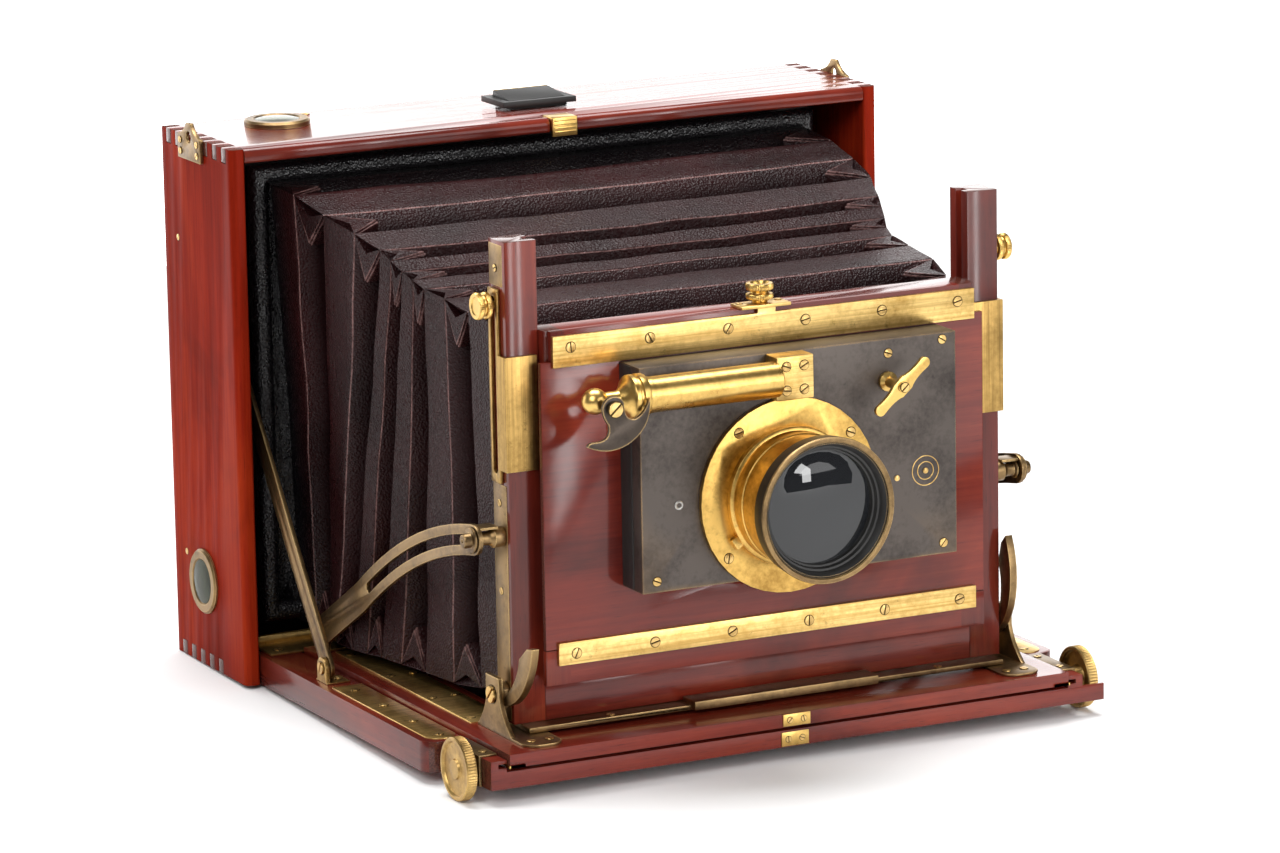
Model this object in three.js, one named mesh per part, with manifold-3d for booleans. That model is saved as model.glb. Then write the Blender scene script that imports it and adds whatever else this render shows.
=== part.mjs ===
// Mahogany and brass whole-plate view camera, standing open: a shallow box body with a
// folding bed, a focusing track, a tilting standard, a rising front and a shuttered lens.
//
// Units are millimetres. While it is being built, x runs to the right seen from the front,
// the lens looks along -y and +z is up, with y = 0 at the box's front edge and z = 0 at its
// underside. The last lines move the whole camera so that the origin is bottom centre.
import * as THREE from 'three';
import { mergeVertices } from 'three/addons/utils/BufferGeometryUtils.js';
import Module from 'manifold-3d';

const wasm = await Module();
wasm.setup();

// ---------------------------------------------------------------- driving dimensions
const GLUE = 0.1;                   // gap left at a glued or screwed seat
const RUN = 0.3;                    // gap left where pieces slide or turn
const ROUND = 40;                   // segments in a large round piece
const SMALL_ROUND = 14;             // segments in a screw or pin

const BOX = { w: 300, d: 72, h: 225, side: 6.4, top: 6 };
const SIDES = [-1, 1];              // left is -1, right is +1
const INNER_X = BOX.w / 2 - BOX.side;
const FINGERS = 15;                 // fingers and gaps along each box corner

const HINGE = { y: 15, z: 14.9, barrel: 2.2, halfW: 140 };
const BED = {
  w: 286, front: -199.5, z1: 12.4, railEnd: -160.8, noseX: 133, innerX: 126.2,
  ledgeX: 112, ledgeZ: 9, ledgeFront: -176, nose0: 0.8, grooveTop: 11,
};
const CROSS = { depth: 8, z0: 0.8, z1: 7.6 };
const PINION = { y: -184.5, z: 7.4, shaftR: 1.6, module: 0.8, teeth: 10, x0: 104, x1: 110 };
const KNOB = { r: 12.7, x0: 135.2, x1: 142 };

const TRACK = { w: 251, front: -201, rear: -4, z0: 9.3, z1: 14.7, openX: 97 };
const TILT = { y: -166, z: 30, pinR: 1.8 };         // pivot of the standard on its brackets
const BRACKET = { x: 114.2, t: 1.8 };
const UPRIGHT = { x0: 96, x1: 109.7, y0: -172.5, y1: -158.5, z0: 18.2, z1: 210.6 };
const SILL_TOP = 33.4;

const STRUT = { x: 135.3, t: 1.8, y: -53, z: 18.4, length: 144, angle: 53.1, w: 9.6 };
const STAY = { x: 121.1, t: 1.8, y: -12, z: 21.2, w: 12.4, slot: 4.2 };
const CLAMP = { y: -166, z: 93 };                   // where the stay meets the upright
const RISE = { y: -164, z: 185.1, slot: 4, z0: 114.4, z1: 191.6, sleeve: [119.8, 165.6] };
const CLAMP_ROOT = 105;                             // x where the clamps' screws start in the upright

const FRONT = { halfW: 95.6, back: -165, step: -176.8, face: -179.6, z0: 33.7, z1: 175 };
const PANEL = { halfW: 98.6, z0: 48, z1: 163, t: 2.5 };
const STRIP = { halfW: 93.9, t: 1.8, z: [160.9, 173.3] };
const SHUTTER = { x0: -64.3, x1: 76.7, z0: 70, z1: 160.4, depth: 16.8 };
const LENS = { z: 102.9, bore: 25, flangeR: 39.3, barrelR: 27.6, hoodR: 29.3, glassR: 22 };
const PANEL_FACE = FRONT.face;
const SHUTTER_FACE = PANEL_FACE - GLUE - SHUTTER.depth;
const FLANGE_T = 2.4;
const FLANGE_FACE = SHUTTER_FACE - GLUE - FLANGE_T;
const HOOD_FRONT = -231.2;
const CYL = { r: 7.1, z: 151.3, left: -66, right: -8 };     // air brake cylinder
const CYL_Y = SHUTTER_FACE - CYL.r - RUN;
const CRESCENT = { x: -84.4, z: 150, y: -214.6, t: 1.6 };   // release lever's pivot and back
const WING = { x: 45.3, z: 143.4, front: -209.8, lean: 41, t: 1.8 };
const THUMB = { x: 0, y: -175.5 };                  // thumb screw on the rising front
const LEVER_LEAN = { left: 0, right: THREE.MathUtils.degToRad(36.6) };

const PARTITION = { y0: 46, y1: 52, openX: 108, z0: 30, z1: 195 };
const SCREEN = { y0: 58, y1: 68, z0: 8.5, z1: 214, halfW: 142.8, openX: 110, openZ: [28, 196] };
const BUSH = { r: 19, t: 2, y: 46, hole: 4.75 };    // tripod bush in the box's underside
const LEVEL = { r: 13.75, h: 2.6, wellR: 9.4, wellDepth: 1.4 };
const SIDE_FITTING = 1.8;           // how far side fittings stand off the box
const FINDER = { x: 2, y: 35, w: 34, d: 22 };
const CATCH = { x: 1, halfW: 5.8, back: 8, front: -1.6, z0: 217.3, travelRoom: 10 };

// ---------------------------------------------------------------- materials
const finish = (color, roughness, metalness) =>
  new THREE.MeshStandardMaterial({ color, roughness, metalness });
const MAHOGANY = 0x8c3222;
const LACQUERED_BRASS = 0xc8983c;
const AGED_BRASS = 0x86693a;
const wood = () => finish(MAHOGANY, 0.3, 0);
const brass = () => finish(LACQUERED_BRASS, 0.3, 1);
const bronze = () => finish(AGED_BRASS, 0.4, 1);
const steel = () => finish(0x8a8a88, 0.4, 1);
const black = () => finish(0x2c2724, 0.5, 0.6);
const glass = () => finish(0x9aa4a4, 0.05, 0);
const leather = () => finish(0x3a2224, 0.6, 0);

// ---------------------------------------------------------------- solids
// A closed three.js geometry as a manifold-3d solid, turned right side out if needed.
function solid(geometry) {
  geometry.deleteAttribute('normal');
  geometry.deleteAttribute('uv');
  const merged = mergeVertices(geometry, 1e-4);
  const position = merged.attributes.position;
  const index = [];
  for (let i = 0; i < merged.index.count; i += 3) {
    const [a, b, c] = [0, 1, 2].map((k) => merged.index.getX(i + k));
    if (a !== b && b !== c && c !== a) index.push(a, b, c);
  }
  if (signedVolume(position, index) < 0) index.reverse();
  return new wasm.Manifold(new wasm.Mesh({
    numProp: 3,
    vertProperties: new Float32Array(position.array),
    triVerts: new Uint32Array(index),
  }));
}

function signedVolume(position, index) {
  const [a, b, c] = [0, 1, 2].map(() => new THREE.Vector3());
  let volume = 0;
  for (let i = 0; i < index.length; i += 3) {
    a.fromBufferAttribute(position, index[i]);
    b.fromBufferAttribute(position, index[i + 1]);
    c.fromBufferAttribute(position, index[i + 2]);
    volume += a.dot(b.cross(c)) / 6;
  }
  return volume;
}

const join = (...pieces) => pieces.reduce((sum, piece) => sum.add(piece));
const cut = (body, ...tools) => tools.reduce((rest, tool) => rest.subtract(tool), body);

// A block between two x, two y and two z values, given in any order.
function block([xa, xb], [ya, yb], [za, zb]) {
  const g = new THREE.BoxGeometry(Math.abs(xb - xa), Math.abs(yb - ya), Math.abs(zb - za));
  return solid(g.translate((xa + xb) / 2, (ya + yb) / 2, (za + zb) / 2));
}

// A plan outline (x, y) drawn upwards from z0 to z1.
function plan(shape, z0, z1, curveSegments = 12) {
  const g = new THREE.ExtrudeGeometry(shape, { depth: z1 - z0, bevelEnabled: false, curveSegments });
  return solid(g.translate(0, 0, z0));
}

// A side outline (y, z) drawn from x0 to x1.
function sideways(shape, xa, xb, curveSegments = 12) {
  const [x0, x1] = [Math.min(xa, xb), Math.max(xa, xb)];
  const g = new THREE.ExtrudeGeometry(shape, { depth: x1 - x0, bevelEnabled: false, curveSegments });
  const turn = new THREE.Matrix4().set(0, 0, 1, x0, 1, 0, 0, 0, 0, 1, 0, 0, 0, 0, 0, 1);
  return solid(g.applyMatrix4(turn));
}

// A front outline (x, z) drawn forwards from yBack to yFront.
function frontal(shape, yBack, yFront, curveSegments = 12) {
  const g = new THREE.ExtrudeGeometry(shape, { depth: yBack - yFront, bevelEnabled: false, curveSegments });
  const turn = new THREE.Matrix4().set(1, 0, 0, 0, 0, 0, -1, yBack, 0, 1, 0, 0, 0, 0, 0, 1);
  return solid(g.applyMatrix4(turn));
}

// A turned piece: profile points are [radius, distance], the axis starts at `at` and runs
// along x, -x, -y or z.
function turned(profile, axis, at, segments = SMALL_ROUND) {
  const points = profile.map(([r, h]) => new THREE.Vector2(r, h));
  const g = new THREE.LatheGeometry(points, segments);
  if (axis === 'z') g.rotateX(Math.PI / 2);
  if (axis === 'x') g.rotateZ(-Math.PI / 2);
  if (axis === '-x') g.rotateZ(Math.PI / 2);
  if (axis === '-y') g.rotateX(Math.PI);
  return solid(g.translate(...at));
}

const rod = (r, length, axis, at, segments) =>
  turned([[0, 0], [r, 0], [r, length], [0, length]], axis, at, segments);

function outline(points) {
  return new THREE.Shape(points.map(([a, b]) => new THREE.Vector2(a, b)));
}

// A rectangle with its own radius at each corner: low-low, high-low, high-high, low-high.
function roundedRect([a0, a1], [b0, b1], [r1, r2, r3, r4]) {
  const s = new THREE.Shape();
  s.moveTo(a0 + r1, b0);
  s.lineTo(a1 - r2, b0);
  if (r2) s.absarc(a1 - r2, b0 + r2, r2, -Math.PI / 2, 0);
  s.lineTo(a1, b1 - r3);
  if (r3) s.absarc(a1 - r3, b1 - r3, r3, 0, Math.PI / 2);
  s.lineTo(a0 + r4, b1);
  if (r4) s.absarc(a0 + r4, b1 - r4, r4, Math.PI / 2, Math.PI);
  s.lineTo(a0, b0 + r1);
  if (r1) s.absarc(a0 + r1, b0 + r1, r1, Math.PI, Math.PI * 1.5);
  return s;
}

// A flat bar of even width along a list of centre points, with round ends.
function barOutline(centre, halfWidth) {
  const left = [];
  const right = [];
  centre.forEach((p, i) => {
    const before = centre[Math.max(0, i - 1)];
    const after = centre[Math.min(centre.length - 1, i + 1)];
    const along = after.clone().sub(before).normalize();
    const across = new THREE.Vector2(-along.y, along.x).multiplyScalar(halfWidth);
    left.push(p.clone().add(across));
    right.push(p.clone().sub(across));
  });
  const cap = (p, from) => {
    const start = Math.atan2(from.y - p.y, from.x - p.x);
    return [1, 2, 3, 4, 5, 6, 7].map((k) => {
      const a = start - (k * Math.PI) / 8;
      return new THREE.Vector2(p.x + halfWidth * Math.cos(a), p.y + halfWidth * Math.sin(a));
    });
  };
  const end = centre[centre.length - 1];
  const back = right.slice().reverse();
  return new THREE.Shape([...left, ...cap(end, left[left.length - 1]), ...back, ...cap(centre[0], right[0])]);
}

// ---------------------------------------------------------------- the model
const camera = new THREE.Group();

function add(name, body, material) {
  const mesh = body.getMesh();
  const geometry = new THREE.BufferGeometry();
  geometry.setAttribute('position', new THREE.BufferAttribute(mesh.vertProperties, 3));
  geometry.setIndex(new THREE.BufferAttribute(mesh.triVerts, 1));
  geometry.computeVertexNormals();
  const part = new THREE.Mesh(geometry, material);
  part.name = name;
  camera.add(part);
}

const sideName = (side) => (side < 0 ? 'left' : 'right');

// ---------------------------------------------------------------- box body
const fingerPitch = BOX.d / FINGERS;
const fingerSpan = (i) => [i * fingerPitch - GLUE / 2, (i + 1) * fingerPitch + GLUE / 2];
const FIRST_BOTTOM_FINGER = 5;

// Blocks that clear every second finger place, over one end's x span and board's z span.
function fingerSockets(parity, first, xSpan, zSpan) {
  const sockets = [];
  for (let i = first; i < FINGERS; i += 1) {
    if (i % 2 === parity) sockets.push(block(xSpan, fingerSpan(i), zSpan));
  }
  return sockets;
}

function boxSideBoard(side) {
  const outer = side * BOX.w / 2;
  const inner = side * INNER_X;
  const radii = side < 0 ? [3, 1.2, 0, 0] : [1.2, 3, 0, 0];
  const spanX = [Math.min(outer, inner), Math.max(outer, inner)];
  const board = plan(roundedRect(spanX, [0, BOX.d], radii), 0, BOX.h, 6);
  const reach = [outer + side, inner - side];
  const topSockets = fingerSockets(1, 0, reach, [BOX.h - BOX.top - GLUE, BOX.h + 1]);
  const bottomSockets = fingerSockets(1, FIRST_BOTTOM_FINGER, reach, [-1, BOX.top + GLUE]);
  return cut(board, ...topSockets, ...bottomSockets);
}

function boxTopBoard() {
  const z0 = BOX.h - BOX.top;
  const section = roundedRect([0, BOX.d], [z0, BOX.h], [1.2, 0, 0, 3]);
  const board = sideways(section, -BOX.w / 2, BOX.w / 2, 6);
  const sockets = SIDES.flatMap((side) => fingerSockets(
    0, 0, [side * (BOX.w / 2 + 1), side * (INNER_X - GLUE)], [z0 - 1, BOX.h + 1]));
  const notchX = [CATCH.x - CATCH.halfW - RUN, CATCH.x + CATCH.halfW + RUN];
  const catchNotch = block(notchX, [-1, CATCH.travelRoom], [z0 - 1, BOX.h + 1]);
  return cut(board, catchNotch, ...sockets);
}

// The bottom board starts behind the bed and carries a raised rail for the bed's hinges.
function boxBottomBoard() {
  const front = HINGE.y + RUN;
  const board = block([-BOX.w / 2, BOX.w / 2], [front, BOX.d], [0, BOX.top]);
  const ends = SIDES.flatMap((side) => {
    const reach = [side * (BOX.w / 2 + 1), side * (INNER_X - GLUE)];
    const frontEndY = [front - 1, FIRST_BOTTOM_FINGER * fingerPitch + GLUE / 2];
    const frontEnd = block(reach, frontEndY, [-1, BOX.top + 1]);
    return [frontEnd, ...fingerSockets(0, FIRST_BOTTOM_FINGER, reach, [-1, BOX.top + 1])];
  });
  const rail = block([-(INNER_X - GLUE), INNER_X - GLUE], [front, front + 10], [0, BED.z1]);
  const bushPocket = rod(BUSH.r + GLUE, BUSH.t + GLUE + 1, 'z', [0, BUSH.y, -1], ROUND);
  const screwHole = rod(BUSH.hole + GLUE, BOX.top + 2, 'z', [0, BUSH.y, -1]);
  return cut(join(cut(board, ...ends), rail), bushPocket, screwHole);
}

const bushDisc = (t) => [[BUSH.hole, 0], [BUSH.r, 0], [BUSH.r, t], [BUSH.hole, t], [BUSH.hole, 0]];

function partitionBoard() {
  const half = INNER_X - GLUE;
  const board = block([-half, half], [PARTITION.y0, PARTITION.y1], [BOX.top + GLUE, BOX.h - BOX.top - GLUE]);
  const openX = [-PARTITION.openX, PARTITION.openX];
  return cut(board, block(openX, [0, BOX.d], [PARTITION.z0, PARTITION.z1]));
}

// A pointed eye on a small plate; y and z are measured from the eye.
function strapLug(side) {
  const s = new THREE.Shape();
  s.moveTo(-11.6, -9);
  s.lineTo(11.6, -9);
  s.lineTo(11.6, 1);
  s.quadraticCurveTo(5, 2, 2.2, 6.6);
  s.lineTo(-2.2, 6.6);
  s.quadraticCurveTo(-5, 2, -11.6, 1);
  s.closePath();
  s.holes.push(new THREE.Path().absarc(0, 0.6, 2.5, 0, Math.PI * 2));
  const x = side * (BOX.w / 2 + GLUE);
  return sideways(s, x, x + side * (SIDE_FITTING - GLUE), 8).translate([0, 39.2, 224.4]);
}

function levelCase(axis, at, height) {
  const well = height - LEVEL.wellDepth;
  return turned([[0, 0], [LEVEL.r, 0], [LEVEL.r, height - 0.9], [LEVEL.r - 0.9, height],
    [LEVEL.wellR + 0.6, height], [LEVEL.wellR, height - 0.6], [LEVEL.wellR, well], [0, well]], axis, at, 32);
}

// The reflecting finder: a shallow black tray on a smaller foot, with a lid hinged at the back.
function finderBody() {
  const z = BOX.h + GLUE;
  const { x, y, w, d } = FINDER;
  const foot = block([x - w / 2 + 5, x + w / 2 - 3], [y - d / 2 + 3, y + d / 2 - 3], [z, z + 1.6]);
  const tray = block([x - w / 2, x + w / 2], [y - d / 2, y + d / 2], [z + 1.6, z + 4]);
  const wellX = [x - w / 2 + 3.7, x + w / 2 - 3.7];
  const well = block(wellX, [y - d / 2 + 2.7, y + d / 2 - 2.7], [z + 2.6, z + 5]);
  return cut(join(foot, tray), well);
}

function finderLid() {
  const { x, y, w, d } = FINDER;
  const z = BOX.h + GLUE + 2.9;
  const section = outline([[y - d / 2 + 3, z], [y + d / 2 - 3, z], [y + d / 2 - 3, z + 3.4],
    [y + d / 2 - 4.4, z + 3.4], [y - d / 2 + 3, z + 1.2]]);
  return sideways(section, x - w / 2 + 4, x + w / 2 - 4);
}

function bedCatch() {
  const x = [CATCH.x - CATCH.halfW, CATCH.x + CATCH.halfW];
  const lip = block(x, [CATCH.front, 0], [CATCH.z0, BOX.h + 0.4]);
  const bolt = block(x, [-0.5, CATCH.back], [BOX.h - BOX.top + 0.5, BOX.h + 0.4]);
  return join(lip, bolt);
}

function screenFrame() {
  const body = block([-SCREEN.halfW, SCREEN.halfW], [SCREEN.y0, SCREEN.y1], [SCREEN.z0, SCREEN.z1]);
  return cut(body, block([-SCREEN.openX, SCREEN.openX], [0, BOX.d], SCREEN.openZ));
}

function buildBox() {
  add('box_top_board', boxTopBoard(), wood());
  add('box_bottom_board', boxBottomBoard(), wood());
  SIDES.forEach((side) => {
    add(`box_${sideName(side)}_board`, boxSideBoard(side), wood());
    add(`strap_lug_${sideName(side)}`, strapLug(side), brass());
  });
  add('box_partition', partitionBoard(), wood());
  add('tripod_bush', turned(bushDisc(BUSH.t), 'z', [0, BUSH.y, 0], ROUND), brass());
  const sideFace = BOX.w / 2 + GLUE;
  add('top_level', levelCase('z', [-107.4, 49.4, BOX.h + GLUE], LEVEL.h), brass());
  add('side_level', levelCase('-x', [-sideFace, 40.5, 36.6], SIDE_FITTING - GLUE), brass());
  add('finder_body', finderBody(), black());
  add('finder_lid', finderLid(), black());
  add('bed_catch', bedCatch(), brass());
  add('screen_frame', screenFrame(), wood());
  const glassX = SCREEN.openX - GLUE;
  const glassZ = [SCREEN.openZ[0] + GLUE, SCREEN.openZ[1] - GLUE];
  add('ground_glass', block([-glassX, glassX], [61, 64], glassZ), glass());
}

// ---------------------------------------------------------------- bellows
// Ridges are spread at the back, bunched in the middle and spread again at the front.
const RIDGES = [25.7, -5.6, -29, -53, -67, -75, -83, -91, -102, -121, -141];
const BELLOWS = { backY: 45.8, frontY: -164.8, z0: 17.2, wall: 1.2, pleat: 9 };
const BELLOWS_BACK = { halfW: 124, z0: 19, z1: 208 };
const BELLOWS_FRONT = { halfW: 92, z0: 40, z1: 170 };

function bellowsRing(y, inset) {
  const t = (BELLOWS.backY - y) / (BELLOWS.backY - BELLOWS.frontY);
  const insideBox = y > 0;
  const halfW = (insideBox ? 128 : 119.6 - 16 * t * t) - inset;
  return { y, halfW, z0: BELLOWS.z0 + inset, z1: 213 - 38 * t - inset };
}

function bellowsRings() {
  const rings = [{ y: BELLOWS.backY, ...BELLOWS_BACK }, { y: BELLOWS.backY - 2, ...BELLOWS_BACK }];
  RIDGES.forEach((y, i) => {
    rings.push(bellowsRing(y, 0));
    const next = RIDGES[i + 1] ?? -150;
    rings.push(bellowsRing((y + next) / 2, BELLOWS.pleat));
  });
  rings.push({ y: -156.5, ...BELLOWS_FRONT }, { y: BELLOWS.frontY, ...BELLOWS_FRONT });
  return rings;
}

// A square tube through every ring, with an even wall and both ends open.
function bellows() {
  const rings = bellowsRings();
  const corners = (ring, inset) => {
    const w = ring.halfW - inset;
    return [[-w, ring.z0 + inset], [w, ring.z0 + inset], [w, ring.z1 - inset], [-w, ring.z1 - inset]]
      .map(([x, z]) => [x, ring.y, z]);
  };
  const outside = rings.map((r) => corners(r, 0));
  const inside = rings.map((r) => corners(r, BELLOWS.wall)).reverse();
  const loops = [...outside, ...inside];
  const positions = loops.flat(2);
  const index = [];
  loops.forEach((loop, i) => {
    const next = (i + 1) % loops.length;
    for (let k = 0; k < 4; k += 1) {
      const [a, b] = [i * 4 + k, i * 4 + ((k + 1) % 4)];
      const [c, d] = [next * 4 + k, next * 4 + ((k + 1) % 4)];
      index.push(a, b, d, a, d, c);
    }
  });
  const g = new THREE.BufferGeometry();
  g.setAttribute('position', new THREE.Float32BufferAttribute(positions, 3));
  g.setIndex(index);
  return solid(g);
}

// ---------------------------------------------------------------- folding bed
// One side of the bed: its rail, the nose in front, and the grooved ledge the track runs on.
function bedRail(side) {
  const outer = side * BED.w / 2;
  const inner = side * BED.innerX;
  const rear = HINGE.y - RUN;
  const span = [Math.min(outer, inner), Math.max(outer, inner)];
  const radii = side < 0 ? [6, 0, 0, 0] : [0, 6, 0, 0];
  const rail = plan(roundedRect(span, [BED.railEnd, rear], radii), 0, BED.z1, 6);
  const nose = block([inner, side * BED.noseX], [BED.front, BED.railEnd + 8], [BED.nose0, BED.z1]);
  const ledge = block([inner + side, side * BED.ledgeX], [BED.ledgeFront, rear], [0, BED.ledgeZ]);
  const grooveX = [inner - side * 2, inner + side * 3.6];
  const groove = block(grooveX, [BED.front - 1, rear - 1], [BED.ledgeZ + 0.2, BED.grooveTop]);
  return cut(join(rail, nose, ledge), groove);
}

function bedFrame() {
  const rear = HINGE.y - RUN;
  const rearRail = block([-BED.innerX - 1, BED.innerX + 1], [0, rear], [0, BED.ledgeZ]);
  const crossY = [BED.front, BED.front + CROSS.depth];
  const crosspiece = block([-BED.noseX, BED.w / 2], crossY, [CROSS.z0, CROSS.z1]);
  const knobScoop = rod(KNOB.r + RUN * 2, 12, 'x', [BED.noseX + RUN, PINION.y, PINION.z], 48);
  const shaftHole = rod(PINION.shaftR + RUN, BED.w, 'x', [-BED.w / 2, PINION.y, PINION.z]);
  const rails = join(bedRail(-1), bedRail(1), rearRail);
  return cut(join(rails, cut(crosspiece, knobScoop)), shaftHole);
}

// Brass angle over each nose, which carries the pinion shaft.
function pinionBearing(side) {
  const x0 = side * (BED.noseX + GLUE);
  const x1 = side * (BED.noseX + 1.3);
  const y = [BED.front + CROSS.depth + GLUE, BED.railEnd - 2.2];
  const cheek = block([x0, x1], y, [0.8, BED.z1 + 0.9]);
  const cap = block([x1, side * (BED.innerX + 0.3)], y, [BED.z1 + GLUE, BED.z1 + 0.9]);
  const hole = rod(PINION.shaftR + 0.1, 8, 'x', [side * BED.noseX - 4, PINION.y, PINION.z]);
  return cut(join(cheek, cap), hole);
}

// The long brass hinge along the bed's back edge; its leaf lies on the bed.
function bedHinge() {
  const x = [-HINGE.halfW, HINGE.halfW];
  const barrel = rod(HINGE.barrel, 2 * HINGE.halfW, 'x', [-HINGE.halfW, HINGE.y, HINGE.z]);
  const leaf = block(x, [TRACK.rear + 0.4, HINGE.y], [BED.z1 + GLUE, BED.z1 + 1]);
  const web = block(x, [HINGE.y - 2, HINGE.y], [BED.z1 + GLUE, HINGE.z]);
  return join(barrel, leaf, web);
}

// The ear on the bed rail that the strut turns on.
function strutLug(side) {
  const earX = side * (STRUT.x + STRUT.t + RUN);
  const ear = new THREE.Shape();
  ear.moveTo(STRUT.y - 4.4, BED.z1 + GLUE);
  ear.lineTo(STRUT.y + 4.4, BED.z1 + GLUE);
  ear.absarc(STRUT.y, STRUT.z, 4.4, 0, Math.PI);
  ear.closePath();
  const cheek = sideways(ear, earX, earX + side * 1.8, 10);
  const footX = [side * 129, earX + side * 1.8];
  const foot = block(footX, [STRUT.y - 5.5, STRUT.y + 5.5], [BED.z1 + GLUE, BED.z1 + 0.7]);
  const pinStart = Math.min(side * (STRUT.x - 1), side * (STRUT.x + 4.4));
  const pin = rod(1.5, 5.4, 'x', [pinStart, STRUT.y, STRUT.z]);
  return join(cheek, foot, pin);
}

function strut(side) {
  const angle = THREE.MathUtils.degToRad(STRUT.angle);
  const foot = new THREE.Vector2(STRUT.y, STRUT.z);
  const reach = new THREE.Vector2(Math.cos(angle), Math.sin(angle)).multiplyScalar(STRUT.length);
  const head = foot.clone().add(reach);
  const shape = barOutline([foot, head], STRUT.w / 2);
  [foot, head].forEach((p) => shape.holes.push(new THREE.Path().absarc(p.x, p.y, 1.8, 0, Math.PI * 2)));
  return sideways(shape, side * STRUT.x, side * (STRUT.x + STRUT.t), 8);
}

// One wheel of teeth round the shaft, as an extruded outline.
function pinionTeeth(side) {
  const pitchR = (PINION.module * PINION.teeth) / 2;
  const points = [];
  for (let i = 0; i < PINION.teeth; i += 1) {
    const mid = Math.PI / 2 + (i * 2 * Math.PI) / PINION.teeth;
    const [root, tip] = [pitchR - 0.85, pitchR + 0.6];
    const tooth = [[root, -0.17], [tip, -0.045], [tip, 0.045], [root, 0.17]];
    tooth.forEach(([r, half]) => points.push([r * Math.cos(mid + half), r * Math.sin(mid + half)]));
  }
  const shape = outline(points.map(([y, z]) => [PINION.y + y, PINION.z + z]));
  return sideways(shape, side * PINION.x0, side * PINION.x1);
}

function pinionShaft() {
  const half = KNOB.x0 + 2;
  const shaft = rod(PINION.shaftR, 2 * half, 'x', [-half, PINION.y, PINION.z]);
  return join(shaft, pinionTeeth(-1), pinionTeeth(1));
}

// A dished, milled focusing knob, open towards the camera.
function focusKnob(side) {
  const { r, x0, x1 } = KNOB;
  const [depth, rim, bore] = [x1 - x0, 4.6, PINION.shaftR + 0.05];
  const profile = [[bore, 0], [4, 0], [4, depth - rim], [5, depth - 2.4], [r - 1.6, depth - 2.4],
    [r - 1.6, depth - rim], [r, depth - rim], [r, depth], [r - 1.4, depth], [r - 2, depth - 1],
    [3.4, depth - 1], [3.4, depth], [0, depth], [0, 2.2], [bore, 2.2], [bore, 0]];
  return turned(profile, side < 0 ? '-x' : 'x', [side * x0, PINION.y, PINION.z], 32);
}

function buildBed() {
  add('bed_frame', bedFrame(), wood());
  add('bed_hinge', bedHinge(), brass());
  SIDES.forEach((side) => {
    const name = sideName(side);
    add(`pinion_bearing_${name}`, pinionBearing(side), bronze());
    add(`strut_lug_${name}`, strutLug(side), brass());
    add(`strut_${name}`, strut(side), bronze());
    add(`focus_knob_${name}`, focusKnob(side), brass());
  });
  add('pinion_shaft', pinionShaft(), steel());
}

// ---------------------------------------------------------------- focusing track
function trackFrame() {
  const body = block([-TRACK.w / 2, TRACK.w / 2], [TRACK.front, TRACK.rear], [TRACK.z0, TRACK.z1]);
  const opening = block([-TRACK.openX, TRACK.openX], [-171, TRACK.rear - 16], [0, 30]);
  const rackSlots = SIDES.map((side) => block([side * (PINION.x0 - 0.4), side * (PINION.x1 + 0.4)],
    [TRACK.front + 4, TRACK.rear - 2], [TRACK.z0 - 1, TRACK.z0 + 4.3]));
  return cut(body, opening, ...rackSlots);
}

// The rack hangs in a slot under the track; a tooth space sits over the pinion's top tooth.
function rack(side) {
  const pitch = Math.PI * PINION.module;
  const pitchLine = PINION.z + (PINION.module * PINION.teeth) / 2;
  const [tip, root, top] = [pitchLine - 0.6, pitchLine + 0.85, TRACK.z0 + 4.2];
  const points = [[TRACK.rear - 3, root]];
  const firstTooth = -2;
  const lastTooth = 26;
  for (let i = lastTooth; i >= firstTooth; i -= 1) {
    const y = PINION.y + (i + 0.5) * pitch;
    points.push([y + 0.72, root], [y + 0.22, tip], [y - 0.22, tip], [y - 0.72, root]);
  }
  points.push([TRACK.front + 4.5, root], [TRACK.front + 4.5, top], [TRACK.rear - 3, top]);
  return sideways(outline(points), side * PINION.x0, side * PINION.x1);
}

// The bracket that the standard stands and tilts on: a flared cheek, a foot and a pivot pin.
function footBracket(side) {
  const z = TRACK.z1 + GLUE;
  const [px, pz] = [TILT.y, TILT.z];
  const cheekShape = new THREE.Shape();
  cheekShape.moveTo(px + 14, z);
  cheekShape.quadraticCurveTo(px + 7, pz - 8, px + 5.6, pz - 2);
  cheekShape.lineTo(px + 5.6, pz + 7.4);
  cheekShape.lineTo(px - 6, pz + 7.4);
  cheekShape.lineTo(px - 6, pz);
  cheekShape.quadraticCurveTo(px - 8, pz - 8, px - 18, z);
  cheekShape.closePath();
  const inner = side * BRACKET.x;
  const outer = side * (BRACKET.x + BRACKET.t);
  const cheek = sideways(cheekShape, inner, outer, 8);
  const span = [Math.min(outer, side * 99), Math.max(outer, side * 99)];
  const radii = [6, 6, 0, 0];
  const foot = plan(roundedRect(span, [px - 31, px + 14], radii), z, z + 0.95, 8);
  const pinStart = Math.min(side * (UPRIGHT.x1 - 6), outer);
  const pin = rod(TILT.pinR, BRACKET.x + BRACKET.t - UPRIGHT.x1 + 6, 'x', [pinStart, TILT.y, TILT.z]);
  return join(cheek, foot, pin);
}

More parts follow.
